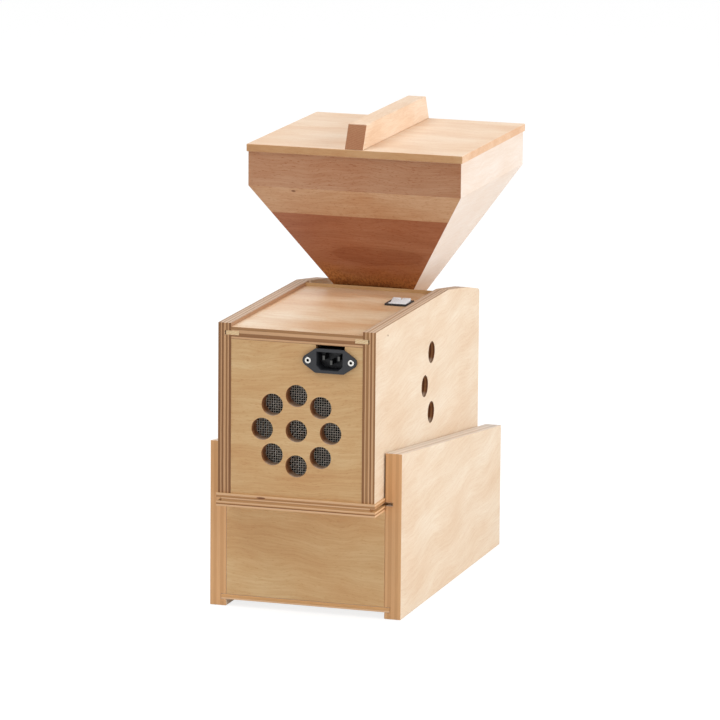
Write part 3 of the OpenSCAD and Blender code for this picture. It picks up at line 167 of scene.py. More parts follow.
class Finish(Tree):
    """The shader tree of a material or of the world."""

    def __init__(self, name, kind="materials"):
        self.owner = getattr(bpy.data, kind).new(name)
        self.owner.use_nodes = True
        super().__init__(self.owner.node_tree)
        self.nodes.clear()

    def place(self, shift=(0, 0, 0)):
        """Object coordinates in millimetres as three values."""
        where = self.add("ShaderNodeTexCoord", {}, {}, "Object")
        scaled = self.add("ShaderNodeVectorMath", {"operation": "SCALE"}, {0: where, "Scale": MM})
        moved = self.add("ShaderNodeVectorMath", {"operation": "ADD"}, {0: scaled, 1: shift})
        first = self.add("ShaderNodeSeparateXYZ", {}, {0: moved}, "X")
        return [first, first.out("Y"), first.out("Z")]

    def facing(self):
        """The size of each part of the surface's own normal."""
        normal = self.add("ShaderNodeTexCoord", {}, {}, "Normal")
        first = self.add("ShaderNodeSeparateXYZ", {}, {0: normal}, "X")
        return [abs(first), abs(first.out("Y")), abs(first.out("Z"))]

    def seen_rays(self):
        """1 for camera, glossy and transmission rays, 0 for those that only carry light."""
        path = self.add("ShaderNodeLightPath", {}, {}, "Is Camera Ray")
        return (path + path.out("Is Glossy Ray") + path.out("Is Transmission Ray")).step(0, 1)

    def noise(self, x, y, z, detail=2.0, roughness=0.5):
        vector = self.add("ShaderNodeCombineXYZ", {}, {0: x, 1: y, 2: z})
        look = {"Vector": vector, "Scale": 1.0, "Detail": detail, "Roughness": roughness}
        return self.add("ShaderNodeTexNoise", {}, look)

    def counted(self, *sizes):
        """The place in units of a feature's size in millimetres: one for all axes, or three."""
        sizes = sizes if len(sizes) == 3 else sizes * 3
        return [part / size for part, size in zip(self.place(), sizes)]

    def speckle(self, size, detail=2.0, roughness=0.5):
        """Noise with features of about that size in millimetres."""
        return self.noise(*self.counted(size), detail, roughness)

    def cells(self, size):
        """Distance to the middle of the nearest grain, for grains of about that size."""
        vector = self.add("ShaderNodeCombineXYZ", {}, dict(enumerate(self.counted(size))))
        return self.add("ShaderNodeTexVoronoi", {}, {"Vector": vector, "Scale": 1.0})

    def tint(self, colour, value, low, high, warmth=0.0):
        """The colour made darker or lighter, by low where value is 0 and by high where it is 1.

        With warmth, what gets darker also gets redder, as wood does."""
        shade = self.add("ShaderNodeMapRange", {}, {0: value, 1: 0.0, 2: 1.0, 3: low, 4: high})
        parts = (shade ** (1 - warmth), shade, shade ** (1 + warmth)) if warmth else (shade,) * 3
        cast = self.add("ShaderNodeCombineColor", {}, dict(enumerate(parts)))
        multiply = {"data_type": "RGBA", "blend_type": "MULTIPLY"}
        return self.add("ShaderNodeMix", multiply, {0: 1.0, 6: colour, 7: cast}, 2)

    def mark(self, colour, boxes):
        """Short dark marks in the wood. A box gives the low and high x and z in millimetres."""
        x, _, z = self.place()
        for x0, x1, z0, z1 in boxes:
            aside = (x - (x0 + x1) / 2) / (x1 - x0) * 2
            above = (z - (z0 + z1) / 2) / (z1 - z0) * 2
            inside = (aside ** 2.0 + above ** 2.0).step(1.4, 0.7)
            colour = self.tint(colour, inside, 1.0, 0.22, 0.3)
        return colour

    def finish(self, colour, roughness, height, depth, strength, metallic=0.0, coat=0.0):
        """Ends the tree in a Principled BSDF, with relief of a depth in metres from the height."""
        relief = {"Strength": strength, "Distance": depth, "Height": height}
        inputs = {"Base Color": colour, "Roughness": roughness}
        inputs |= {"Metallic": metallic, "Coat Weight": coat}
        inputs["Normal"] = self.add("ShaderNodeBump", {}, relief)
        if coat:
            inputs["Coat Roughness"] = 0.25
        shader = self.add("ShaderNodeBsdfPrincipled", {}, inputs)
        self.add("ShaderNodeOutputMaterial", {}, {"Surface": shader})
        return self.owner


# Wood. Sizes of patterns are in millimetres.


def grain_frame(finish, grain, thin, seed):
    """Values along the grain, across it and through the board."""
    place = finish.place([seed * shift for shift in SEED_SHIFT])
    along = AXES.index(grain)
    depth = AXES.index(thin)
    across = 3 - along - depth
    return place[along], place[across], place[depth]


def veneer(finish, along, across, depth, tone, contrast, flecks=1.0):
    """A sliced beech face: slow wavy bands, clouds, fine streaks and short dark flecks."""
    drift = finish.noise(along / 150, across / 30, depth / 60, 2.0)
    across = across + (finish.noise(along / 55, across / 45, depth / 45, 1.0) - 0.5) * 18
    bands = (across / 11 + drift * 11).math("SINE") * 0.5 + 0.5
    streak = finish.noise(along / 30, across / 1.8, depth / 1.8, 3.0, 0.6)
    cloud = finish.noise(along / 70, across / 38, depth / 38, 2.0)
    fleck = finish.noise(along / 3.8, across / 0.55, depth / 0.55, 1.0).step(0.60, 0.72)
    colour = tone
    for pattern, darker, lighter, warmth in (
        (bands, 0.07, 0.03, 0.5),
        (streak.step(0.3, 0.7), 0.10, 0.05, 0.5),
        (cloud.step(0.3, 0.7), 0.09, 0.05, 0.6),
        (fleck, 0.0, -0.16 * flecks, 0.5),
    ):
        colour = finish.tint(colour, pattern, 1 - darker * contrast, 1 + lighter * contrast, warmth)
    return colour, streak, fleck


def ply_stripes(finish, grained, seed, into, thick, plies, first, gain):
    """The layers of an edge: their colour, where they are dark, how much they differ, their fibre.

    Into is the distance from one face, and thick the board's thickness."""
    wood = bpy.context.scene.mill_wood
    along, across, depth = grained
    wave = finish.noise(along / 25, across / 25, 0.0, 2.0) - 0.5
    layer = (into + wave * 0.4) * (plies / thick)
    layer = layer + (layer * 2.1 + seed).math("SINE") * 0.17
    glue = abs((layer * math.pi).math("SINE"))
    uneven = (layer * 1.37 + seed * 1.9).math("SINE") * 0.5 + 0.5
    dark = ((layer + first) * 0.5).math("FRACT").step(0.38, 0.46)
    fibre = finish.noise(along / 14, across / 14, depth / 0.4, 3.0, 0.65)
    light_ply = finish.tint(tuple(wood.ply_light), fibre, 0.80, 1.16, 0.3)
    dark_ply = finish.tint(tuple(wood.ply_dark), uneven, 0.84, 1.3, 0.3)
    dark_ply = finish.tint(dark_ply, fibre, 0.74 * gain, 1.26 * gain)
    edge = finish.tint(dark.mix(light_ply, dark_ply), glue.step(0.0, 0.3), 0.82, 1.0, 0.3)
    return finish.tint(edge, 1.0, 1.0, gain, 0.3), dark, uneven, fibre


def plywood(node, grain, thin, tone, seed, plies=9, first=0, contrast=1.0, slant=0.0, plain=0.0,
            gain=1.0, inner=None, far=None, gloss=0.5, marks=()):
    """Multiplex board: veneer on its faces, and on its edges the layers as light and dark stripes.

    Tone, inner and far name the colours of the faces, of the face towards the middle of the mill
    and of the board's left end. The inner colour is painted shade on that face rearward of the
    bulkhead, and the far colour is painted shade and reflection from the hopper. First is 1 where
    the outer layers are dark. A slant turns the figure on the faces, plain takes the stripes out
    of the rear ends, gain lightens the edges. Edges that face up get a painted sheen. Walls of
    holes are darkened with painted shade."""
    wood = bpy.context.scene.mill_wood
    finish = Finish(f"plywood_{node}")
    low, high = ([size * MM for size in corner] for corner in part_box(node))
    k = AXES.index(thin)
    tone = tuple(getattr(wood, tone))
    # Painted shade and reflection from the hopper: the faces darken towards the board's left end.
    if far:
        tone = finish.place()[0].step(high[0], low[0]).mix(tone, tuple(getattr(wood, far)))
    along, across, depth = grained = grain_frame(finish, grain, thin, seed)
    face, streak, fleck = veneer(finish, along, across + along * slant, depth, tone, contrast)
    into = finish.place()[k] - low[k]
    stripes = ply_stripes(finish, grained, seed, into, high[k] - low[k], plies, first, gain)
    edge, dark, uneven, fibre = stripes
    normal = finish.facing()
    inside = 1.0
    border, hole = 4, 7  # an edge lies within the border, and a hole at least so far from it
    for i in range(3):
        if i != k:
            middle, half = (low[i] + high[i]) / 2, (high[i] - low[i]) / 2
            inside = abs(finish.place()[i] - middle).step(half - border, half - hole) * inside
    # Painted shade: the walls of holes, the edges well inside the board's outline, are darkened.
    edge = finish.tint(edge, inside, 1.0, 0.45, 0.4)
    if plain:
        soft = finish.tint(tuple(wood.end_tone), fibre, 0.88, 1.08, 0.3)
        soft = finish.tint(soft, dark, 1.04, 0.96, 0.4)
        edge = (normal[1].step(*FACING) * plain).mix(edge, soft)
    # Edges that face up get a paler, greyer colour: painted sheen.
    lighter, darker = 1.04 + plain * 0.9, 0.56 + plain
    pale = finish.tint(tuple(wood.top_edge), dark * (0.5 + uneven), lighter, darker, 0.3)
    edge = (normal[2].step(0.6, 0.9) * 0.8).mix(edge, pale)
    # Painted shade: the inner face rearward of the bulkhead takes the darker inner colour.
    if inner:
        wall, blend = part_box("bulkhead")[0][1] * MM, 2
        shaded_lining = finish.place()[1].step(wall + blend, wall).mix(tuple(getattr(wood, inner)), tone)
        shaded_lining = finish.tint(shaded_lining, streak, 0.8, 1.15, 0.4)
        inward = min(abs(low[k]), abs(high[k]))
        face = abs(finish.place()[k]).step(inward + 0.6, inward + 0.2).mix(face, shaded_lining)
    colour = normal[k].step(0.45, 0.75).mix(edge, face)
    if marks:
        colour = finish.mark(colour, marks)
    pores = finish.noise(along / 0.6, across / 0.6, depth / 0.6, 2.0)
    height = streak * 0.5 - fleck * 0.6 + pores * 0.35
    return finish.finish(colour, gloss + streak * 0.14 + fleck * 0.1, height, 0.00012, 0.35)


def glued_planks(finish, tone, along, depth, normal, glue, low_tone, foot_tone, band_shade_tone):
    """The tone of a board of two planks, with the height of their glue line.

    The upper plank is upright in its band and slopes below it; the band takes a darker colour for
    the way it faces, which is painted shade. The lower one has an oval figure and, where there is a
    foot tone, a mottled foot."""
    x, y, z = finish.place()
    figure = finish.noise(along / 90, z / 22, depth / 60, 2.0)
    oval_x, oval_z, half_width, half_height = -7, glue - 39, 38, 8
    aside, above = (x - oval_x) / half_width, (z - oval_z) / half_height
    oval = (aside ** 2.0 + above ** 2.0).math("SQRT") + (figure - 0.5) * 0.9
    rings = (oval * 3.4 + figure * 5).math("SINE") * 0.5 + 0.5
    low, mottle = low_tone, 0.0
    if foot_tone:
        wander = finish.noise(along / 40, z / 14, depth / 40, 2.0) * 24
        foot = (z + wander).step(glue - 32, glue - 62)
        low = foot.mix(low_tone, foot_tone)
        mottle = finish.noise(x / 1.9, y / 1.9, z / 4.0, 2.0, 0.6).step(0.42, 0.62) * foot
    low = finish.tint(low, rings, 0.93, 1.05, 0.4)
    low = finish.tint(low, oval.step(1.08, 0.94), 1.0, 0.86, 0.4)
    low = finish.tint(low, abs(oval - 1.03).step(0.1, 0.0), 1.0, 0.86, 0.4)
    low = finish.tint(low, mottle, 1.12, 0.6, 0.3)
    band = finish.tint(band_shade_tone, x.step(-100, 100), 0.84, 1.16, 0.4)
    # Band and slope take two colours by the way they face: the band's darker colour is painted
    # shade.
    tone = normal[2].step(0.1, 0.4).mix(band, tone)
    return z.step(glue + 0.2, glue - 0.2).mix(tone, low)


def beech(name, grain, thin, tone, seed, contrast=1.0, planks=None, end=0.72, end_warmth=0.6,
          edge_tone=None, flecks=1.0, marks=()):
    """Solid beech: streaks and short flecks along the grain, rings on the end grain.

    Planks gives the glue line's height and the tones of the lower plank, its foot and the band, the
    band's tone holding painted shade. The colour of a board's narrow sides can differ from its
    faces, and end darkens its end grain."""
    finish = Finish(name)
    along, across, depth = grain_frame(finish, grain, thin, seed)
    normal = finish.facing()
    if edge_tone:
        tone = normal[1].step(*FACING).mix(tone, edge_tone)
    if planks:
        tone = glued_planks(finish, tone, along, depth, normal, *planks)
    face, streak, fleck = veneer(finish, along, across, depth, tone, contrast, flecks)
    centre = finish.noise(along / 200, across / 60, depth / 60, 1.0) * 3
    spread = ((across + 70) ** 2.0 + (depth - 45) ** 2.0).math("SQRT")
    ring = (spread / 1.9 + centre).math("FRACT")
    pores = finish.noise(along / 4, across / 0.35, depth / 0.35, 1.0)
    grained = finish.tint(face, ring, end * 0.82, end * 1.12, end_warmth)
    grained = finish.tint(grained, pores, 0.86, 1.1)
    colour = normal[AXES.index(grain)].step(*FACING).mix(face, grained)
    if marks:
        colour = finish.mark(colour, marks)
    height = streak * 0.5 - fleck * 0.7 + pores * 0.2
    return finish.finish(colour, 0.48 + streak * 0.16 + fleck * 0.1, height, 0.0001, 0.35)


# Plastic, metal, stone


def moulded_plastic(name, tone, roughness=0.42, recess=None):
    """Moulded plastic with a fine spark-eroded grain and faint flow marks.

    In front of a recess's mouth, inside the recess, it is darkened with painted shade."""
    finish = Finish(name)
    grain = finish.speckle(0.35)
    flow = finish.speckle(14)
    colour = finish.tint(tone, flow, 0.9, 1.1)
    if recess:
        # Painted shade inside the recess.
        recess_shade = finish.place()[1].step(recess, recess - 2.5)
        colour = finish.tint(colour, recess_shade, 1.0, 0.2)
    rough = roughness + (grain - 0.5) * 0.22 + (flow - 0.5) * 0.1
    return finish.finish(colour, rough, grain, 0.00005, 0.35)


def worked_metal(name, tone, along, roughness=0.3, tip=None):
    """Turned, drawn or rolled metal with fine lines along one axis; in front of a tip it is painted
    dark, leaving a painted glint on the tip.
    """
    finish = Finish(name)
    sizes = [14.0 if axis == along else 0.18 for axis in AXES]
    lines = finish.noise(*finish.counted(*sizes), 3.0, 0.7)
    haze = finish.speckle(9, 3.0)
    colour = finish.tint(finish.tint(tone, lines, 0.88, 1.08), haze, 0.92, 1.06)
    if tip:
        # Painted glint: dark away from the tip, full colour at the tip.
        colour = finish.tint(colour, finish.place()[1].step(tip - 0.6, tip - 0.1), 0.1, 1.0)
    rough = roughness + (lines - 0.5) * 0.2 + (haze - 0.5) * 0.16
    return finish.finish(colour, rough, lines, 0.00002, 0.3, metallic=1.0)


def cast_metal(name, tone, grain=0.8):
    """Die-cast metal with a sand-like skin and slightly darker pits."""
    finish = Finish(name)
    skin = finish.speckle(grain, 4.0, 0.6)
    haze = finish.speckle(22, 3.0)
    pits = finish.cells(1.6).step(0.22, 0.05)
    colour = finish.tint(finish.tint(tone, haze, 0.86, 1.08), pits, 1.0, 0.8)
    rough = 0.46 + (skin - 0.5) * 0.3
    return finish.finish(colour, rough, skin - pits * 0.5, 0.00015, 0.5, metallic=0.9)


def enamelled_metal(name, tone):
    """Sprayed enamel with a light orange peel and dust in its gloss."""
    finish = Finish(name)
    peel = finish.speckle(1.3, 1.0)
    dust = finish.speckle(11, 4.0, 0.6)
    colour = finish.tint(tone, dust, 0.88, 1.1)
    return finish.finish(colour, 0.34 + dust * 0.16, peel, 0.0001, 0.25, coat=0.2)


def sheet_stack(name, tone):
    """Edges of stacked iron sheets, half a millimetre each, along the shaft."""
    finish = Finish(name)
    sheet = 0.5
    gap = (finish.place()[1] / sheet).math("FRACT").step(0.16, 0.0)
    rust = finish.noise(*finish.counted(7, 3, 7), 4.0, 0.6)
    brown = (0.24, 0.17, 0.12)
    colour = finish.tint(rust.step(0.5, 0.8).mix(tone, brown), gap, 1.0, 0.5)
    return finish.finish(colour, 0.45 + rust * 0.2, 1 - gap, 0.0001, 0.5, metallic=0.85)


def varnished_copper(name, tone):
    """Enamelled copper wire under clear varnish."""
    finish = Finish(name)
    pool = finish.speckle(5, 3.0)
    colour = finish.tint(tone, pool, 0.72, 1.12)
    return finish.finish(colour, 0.25 + pool * 0.2, pool, 0.0001, 0.3, metallic=0.8, coat=0.4)


def bonded_stone(name, tone):
    """Mill stone: pale bond with grey, white and brown grit, rough all over."""
    finish = Finish(name)
    grit = finish.cells(1.1)
    kinds = finish.speckle(0.9, 3.0, 0.7)
    brown, grey, white = (0.30, 0.26, 0.22), (0.58, 0.53, 0.46), (0.88, 0.86, 0.80)
    stops = [(0.30, brown), (0.44, grey), (0.56, tone), (0.72, white)]
    colour = finish.add("ShaderNodeValToRGB", {"stops": stops}, {0: kinds})
    colour = finish.tint(colour, grit, 0.8, 1.1)
    return finish.finish(colour, 0.86 + (kinds - 0.5) * 0.2, grit + kinds, 0.0004, 0.8)


def insulated_wire(name, tone):
    """Extruded insulation with a slight sheen and scuffs."""
    finish = Finish(name)
    scuff = finish.noise(*finish.counted(1.5, 6, 1.5), 3.0)
    colour = finish.tint(tone, scuff, 0.75, 1.3)
    return finish.finish(colour, 0.36 + scuff * 0.2, scuff, 0.00005, 0.3)


def pale_floor():
    """Pale floor that keeps the shadow and fades into white for the camera."""
    finish = Finish("pale_floor")
    colour = finish.tint((0.86, 0.86, 0.86), finish.speckle(60), 0.99, 1.01)
    paper = finish.add("ShaderNodeBsdfPrincipled", {}, {"Base Color": colour, "Roughness": 0.8})
    glow = finish.add("ShaderNodeEmission", {}, {"Color": (1, 1, 1), "Strength": 1.2})
    share = finish.seen_rays() * 0.68
    mixed = finish.add("ShaderNodeMixShader", {}, {0: share, 1: paper, 2: glow})
    finish.add("ShaderNodeOutputMaterial", {}, {"Surface": mixed})
    return finish.owner


# Pieces from the frame

WELD = 2e-6  # corners of a CAD node this close are one, in metres
FLAT = math.radians(0.4)  # faces that meet at less are one
SHARP = math.radians(35)  # edges that meet at more are broken


def coat_nodes(material, *nodes):
    """Gives CAD nodes their material."""
    for node in nodes:
        mesh = frame["nodes"][node].data
        mesh.materials.clear()
        mesh.materials.append(material)


def place_piece(name, mesh, material, body, slot, *nodes):
    """Puts a finished mesh into the scene, on its body, in place of CAD nodes."""
    mesh.materials.clear()
    mesh.materials.append(material)
    piece = bpy.data.objects.new(name, mesh)
    bpy.context.scene.collection.objects.link(piece)
    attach(piece, body)
    if nodes:
        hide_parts(*nodes)


def eased_piece(name, node, material, slot, ease, smooth=20.0):
    """A copy of a CAD node with its sharp edges broken, in place of that node.

    Edges that turn by more than smooth degrees stay sharp to the eye."""
    mesh = frame["nodes"][node].data.copy()
    mesh.name = name
    shape = bmesh.new()
    shape.from_mesh(mesh)
    bmesh.ops.remove_doubles(shape, verts=shape.verts, dist=WELD)
    bmesh.ops.dissolve_limit(
        shape, angle_limit=FLAT, use_dissolve_boundaries=False, verts=shape.verts, edges=shape.edges
    )
    if ease:
        sharp = [
            e for e in shape.edges
            if len(e.link_faces) == 2 and e.is_convex and e.calc_face_angle(0) > SHARP
        ]
        bmesh.ops.bevel(
            shape, geom=sharp, offset=ease, offset_type="OFFSET", segments=2, profile=0.5,
            affect="EDGES", clamp_overlap=True,
        )
    bmesh.ops.recalc_face_normals(shape, faces=shape.faces)
    for face in shape.faces:
        face.smooth = True
    shape.to_mesh(mesh)
    shape.free()
    mesh.set_sharp_from_angle(angle=math.radians(smooth))
    place_piece(name, mesh, material, BODY_OF[node], slot, node)


# Geometry nodes


class Shape(Tree):
    """A Geometry Nodes tree with named inputs, run once on an empty mesh."""

    def __init__(self, name, **inputs):
        self.group = bpy.data.node_groups.new(name, "GeometryNodeTree")
        super().__init__(self.group)
        sockets = self.group.interface
        sockets.new_socket("Geometry", in_out="OUTPUT", socket_type="NodeSocketGeometry")
        self.sizes = {}
        for label, value in inputs.items():
            number = "Int" if isinstance(value, int) else "Float"
            kind = number if isinstance(value, (int, float)) else "Vector"
            label = label.capitalize().replace("_", " ")
            socket = sockets.new_socket(label, in_out="INPUT", socket_type="NodeSocket" + kind)
            self.sizes[socket.identifier] = value
        self.start = self.nodes.new("NodeGroupInput")

    def given(self, *names):
        """The values of named inputs."""
        return [Value(self, self.start.outputs[name]) for name in names]

    def vector(self, **parts):
        """A vector with the named parts, and 0 for the others."""
        inputs = {AXES.index(axis): part for axis, part in parts.items()}
        return self.add("ShaderNodeCombineXYZ", {}, inputs)

    def ring(self, corners, radius):
        """The outline of a round wire."""
        size = {"Resolution": corners, "Radius": radius}
        return self.add("GeometryNodeCurvePrimitiveCircle", {}, size)

    def run(self, geometry, material):
        """Puts the shape at its centre, ends the tree, evaluates it and gives the plain mesh."""
        centre = self.given("Centre")[0]
        moved = self.add("GeometryNodeTransform", {}, {"Geometry": geometry, "Translation": centre})
        real = self.add("GeometryNodeRealizeInstances", {}, {0: moved})
        coated = self.add("GeometryNodeSetMaterial", {}, {"Geometry": real, "Material": material})
        self.add("NodeGroupOutput", {}, {0: coated})
        holder = bpy.data.objects.new(self.group.name, bpy.data.meshes.new(self.group.name))
        bpy.context.scene.collection.objects.link(holder)
        modifier = holder.modifiers.new("Nodes", "NODES")
        modifier.node_group = self.group
        for key, value in self.sizes.items():
            modifier[key] = value
        graph = bpy.context.evaluated_depsgraph_get()
        mesh = bpy.data.meshes.new_from_object(holder.evaluated_get(graph), depsgraph=graph)
        holder.modifiers.clear()
        bpy.data.objects.remove(holder)
        if not mesh.polygons:
            raise RuntimeError(f"{self.group.name} made no faces")
        return mesh


def woven_wire(width, pitch, radius, centre, material):
    """Plain weave of two sets of wires, each waving over and under the other."""
    tree = Shape("woven_wire", width=width, pitch=pitch, wire_radius=radius, centre=centre)
    span, gap, thick = tree.given("Width", "Pitch", "Wire radius")
    half = span * -0.5
    wires = (span / gap).math("FLOOR")
    bends = 4.0  # points along a wire for each wire that it crosses
    sets = []
    for across, along, side in (("x", "z", -1.0), ("z", "x", 1.0)):
        first = tree.vector(**{along: half})
        last = tree.add("ShaderNodeVectorMath", {"operation": "SCALE"}, {0: first, "Scale": -1.0})
        strand = tree.add("GeometryNodeCurvePrimitiveLine", {}, {"Start": first, "End": last})
        bent = {"Curve": strand, "Count": wires * bends}
        strand = tree.add("GeometryNodeResampleCurve", {}, bent)
        begin, stride = tree.vector(**{across: half}), tree.vector(**{across: gap})
        line = {"Count": wires, "Start Location": begin, "Offset": stride}
        row = tree.add("GeometryNodeMeshLine", {}, line)
        laid = tree.add("GeometryNodeInstanceOnPoints", {}, {"Points": row, "Instance": strand})
        laid = tree.add("GeometryNodeRealizeInstances", {}, {0: laid})
        place = tree.add("GeometryNodeInputPosition")
        x = tree.add("ShaderNodeSeparateXYZ", {}, {0: place}, "X")
        angle = (x + x.out("Z")) / gap * math.pi
        sway = tree.vector(y=angle.math("SINE") * (thick * side))
        laid = tree.add("GeometryNodeSetPosition", {}, {"Geometry": laid, "Offset": sway})
        wire = {"Curve": laid, "Profile Curve": tree.ring(4, thick), "Fill Caps": True}
        sets.append(tree.add("GeometryNodeCurveToMesh", {}, wire))
    join = tree.add("GeometryNodeJoinGeometry")
    for wire_set in sets:
        tree.links.new(wire_set.socket, join.socket.node.inputs[0])
    return tree.run(join, material)


def scale_studs(count, radius, size, sweep, centre, material):
    """Round-headed studs on an arc round the knob, as its scale."""
    tree = Shape(
        "scale_studs", count=count, radius=radius, stud_radius=size, sweep=sweep, centre=centre
    )
    count, radius, size, sweep = tree.given("Count", "Radius", "Stud radius", "Sweep")
    row = tree.add("GeometryNodeMeshLine", {}, {"Count": count})
    index = tree.add("GeometryNodeInputIndex")
    angle = (index / (count - 1.0) - 0.5) * sweep
    spot = tree.vector(x=angle.math("SINE") * radius, z=angle.math("COSINE") * radius)
    row = tree.add("GeometryNodeSetPosition", {}, {"Geometry": row, "Position": spot})
    head = tree.add("GeometryNodeMeshUVSphere", {}, {"Segments": 16, "Rings": 8, "Radius": size})
    flattened = (1.0, 0.45, 1.0)
    head = tree.add("GeometryNodeTransform", {}, {"Geometry": head, "Scale": flattened})
    laid = tree.add("GeometryNodeInstanceOnPoints", {}, {"Points": row, "Instance": head})
    return tree.run(laid, material)


def wound_ring(turns, ring, reach, rise, wire, centre, material):
    """Copper wire wound round and round a ring, as the end turns of a motor."""
    tree = Shape(
        "wound_ring", turns=turns, ring_radius=ring, reach=reach, rise=rise, wire_radius=wire,
        centre=centre,
    )
    turns, ring, wire = tree.given("Turns", "Ring radius", "Wire radius")
    reach, rise = tree.given("Reach", "Rise")
    count = turns * 12.0  # points of the wire
    row = tree.add("GeometryNodeMeshCircle", {}, {"Vertices": count})
    index = tree.add("GeometryNodeInputIndex")
    round_ring = index / count * (2 * math.pi)
    round_wire = round_ring * turns
    out = round_wire.math("COSINE") * reach + ring
    spot = tree.vector(
        x=round_ring.math("COSINE") * out,
        y=round_wire.math("SINE") * rise,
        z=round_ring.math("SINE") * out,
    )
    row = tree.add("GeometryNodeSetPosition", {}, {"Geometry": row, "Position": spot})
    curve = tree.add("GeometryNodeMeshToCurve", {}, {"Mesh": row})
    wound = {"Curve": curve, "Profile Curve": tree.ring(6, wire)}
    laid = tree.add("GeometryNodeCurveToMesh", {}, wound)
    return tree.run(laid, material)


# Settings


def colour_of(name, default):
    return FloatVectorProperty(
        name=name, description=name, subtype="COLOR", default=default, min=0, max=1
    )


def length_of(name, description, default):
    return FloatProperty(
        name=name, description=description, default=default, subtype="DISTANCE", unit="LENGTH"
    )


class MillWood(bpy.types.PropertyGroup):
    rear_tone: colour_of("Colour of the faces at the rear", (0.66, 0.425, 0.202))
    top_tone: colour_of("Colour of the switch panel", (0.82, 0.625, 0.435))
    # Painted shade and brown reflection from the hopper on the switch panel's end beside the switch
    top_far: colour_of("Colour of the switch panel beside the switch", (0.67, 0.47, 0.295))
    side_tone: colour_of("Colour of the side panels' faces", (0.745, 0.595, 0.44))
    # Painted shade on the side panels' inner faces, rearward of the bulkhead
    inner_tone: colour_of("Colour of the side panels' inner faces", (0.40, 0.22, 0.12))
    ply_light: colour_of("Colour of the light layers in an edge", (0.62, 0.36, 0.185))
    ply_dark: colour_of("Colour of the dark layers in an edge", (0.30, 0.136, 0.046))
    # Paler colour of the edges that face up: painted sheen
    top_edge: colour_of("Colour of the edges that face up", (0.62, 0.475, 0.355))
    end_tone: colour_of("Colour of the base sides' rear ends", (0.72, 0.40, 0.178))
    spline_tone: colour_of("Colour of the splines", (0.82, 0.63, 0.38))
    hopper_tone: colour_of("Colour of the hopper's upper rear plank", (0.64, 0.38, 0.215))
    # Darker colour of the hopper's upright band, for the way it faces: painted shade
    hopper_band: colour_of("Colour of that plank's upright band", (0.47, 0.24, 0.128))
    hopper_low: colour_of("Colour of the hopper's lower rear plank", (0.40, 0.148, 0.066))
    hopper_foot: colour_of("Colour at the hopper's neck", (0.60, 0.245, 0.066))
    # Paler, greyer colour for the lit left board than for the others: painted light
    hopper_light: colour_of("Colour of the hopper's left board", (0.79, 0.67, 0.575))
    hopper_warm: colour_of("Colour of the hopper's right and front boards", (0.81, 0.63, 0.47))
    lid_tone: colour_of("Colour of the lid", (0.83, 0.63, 0.46))
    lid_edge: colour_of("Colour of the lid's rear edge", (0.56, 0.315, 0.145))
    edge_break: length_of("Broken edge", "Width of the broken edges", 0.0006)


class MillScreen(bpy.types.PropertyGroup):
    pitch: length_of("Pitch", "Distance between wires", 0.00215)
    wire: length_of("Wire radius", "Radius of a wire", 0.00027)


class MillScale(bpy.types.PropertyGroup):
    studs: IntProperty(
        name="Studs", description="Studs on the scale round the knob", default=11, min=3, max=40
    )
    stud: length_of("Stud radius", "Radius of a stud's head", 0.0016)


class MillStage(bpy.types.PropertyGroup):
    key: FloatProperty(
        name="Key light", description="Power of the large lamp", default=72.0, unit="POWER"
    )
    top: FloatProperty(
        name="Top light", description="Power of the lamp above", default=38.0, unit="POWER"
    )
    fill: FloatProperty(
        name="Fill", description="Strength of the light from all round", default=0.53
    )


# Operators

SIDE_PANEL = dict(plies=7, first=1, contrast=0.8, inner="inner_tone")
BASE_SIDE = dict(plies=5, contrast=0.8, plain=0.84)
BOARDS = (
    # node, direction of the grain, direction through the board, tone, what else differs
    ("left_side_panel", "y", "x", "side_tone", dict(SIDE_PANEL, slant=0.12, gain=0.97)),
    ("right_side_panel", "y", "x", "side_tone", dict(SIDE_PANEL, slant=0.10, gain=0.87)),
    ("rear_panel", "x", "y", "rear_tone", dict(contrast=1.25, slant=0.06)),
    ("front_panel", "x", "y", "rear_tone", dict(contrast=1.1)),
    ("switch_panel", "x", "z", "top_tone",
     dict(plies=4, contrast=1.7, slant=0.03, far="top_far", gloss=0.3)),
    ("bulkhead", "x", "y", "rear_tone", dict(plies=7)),
    ("hopper_board_sloped", "x", "z", "rear_tone", dict(plies=7)),
    ("hopper_shelf", "x", "z", "rear_tone", dict(plies=5)),
    ("deck", "y", "z", "rear_tone", dict(plies=7, gain=1.22, marks=DECK_VOID_AND_GROOVE_SHADE)),
    ("base_left_side", "y", "x", "side_tone", dict(BASE_SIDE, slant=0.12)),
    ("base_right_side", "y", "x", "side_tone", dict(BASE_SIDE, slant=0.14)),
    ("base_rear_panel", "x", "y", "rear_tone", dict(contrast=1.1, slant=-0.05)),
    ("base_bottom_board", "y", "z", "side_tone", dict(plies=2, gain=1.45)),
)


class MILL_OT_housing(bpy.types.Operator):
    """Boards of the housing and the base, with their splines"""

    bl_idname = "mill.housing"
    bl_label = "Housing and base"

    def execute(self, context):
        wood = context.scene.mill_wood
        for seed, (node, grain, thin, tone, look) in enumerate(BOARDS, 1):
            material = plywood(node, grain, thin, tone, seed, **look)
            eased_piece(f"{node}_board", node, material, "plywood", wood.edge_break)
        pale = beech("pale_spline_wood", "y", "z", tuple(wood.spline_tone), 31, 0.7, end=0.95)
        coat_nodes(pale, "panel_splines", "deck_splines")
        return {"FINISHED"}


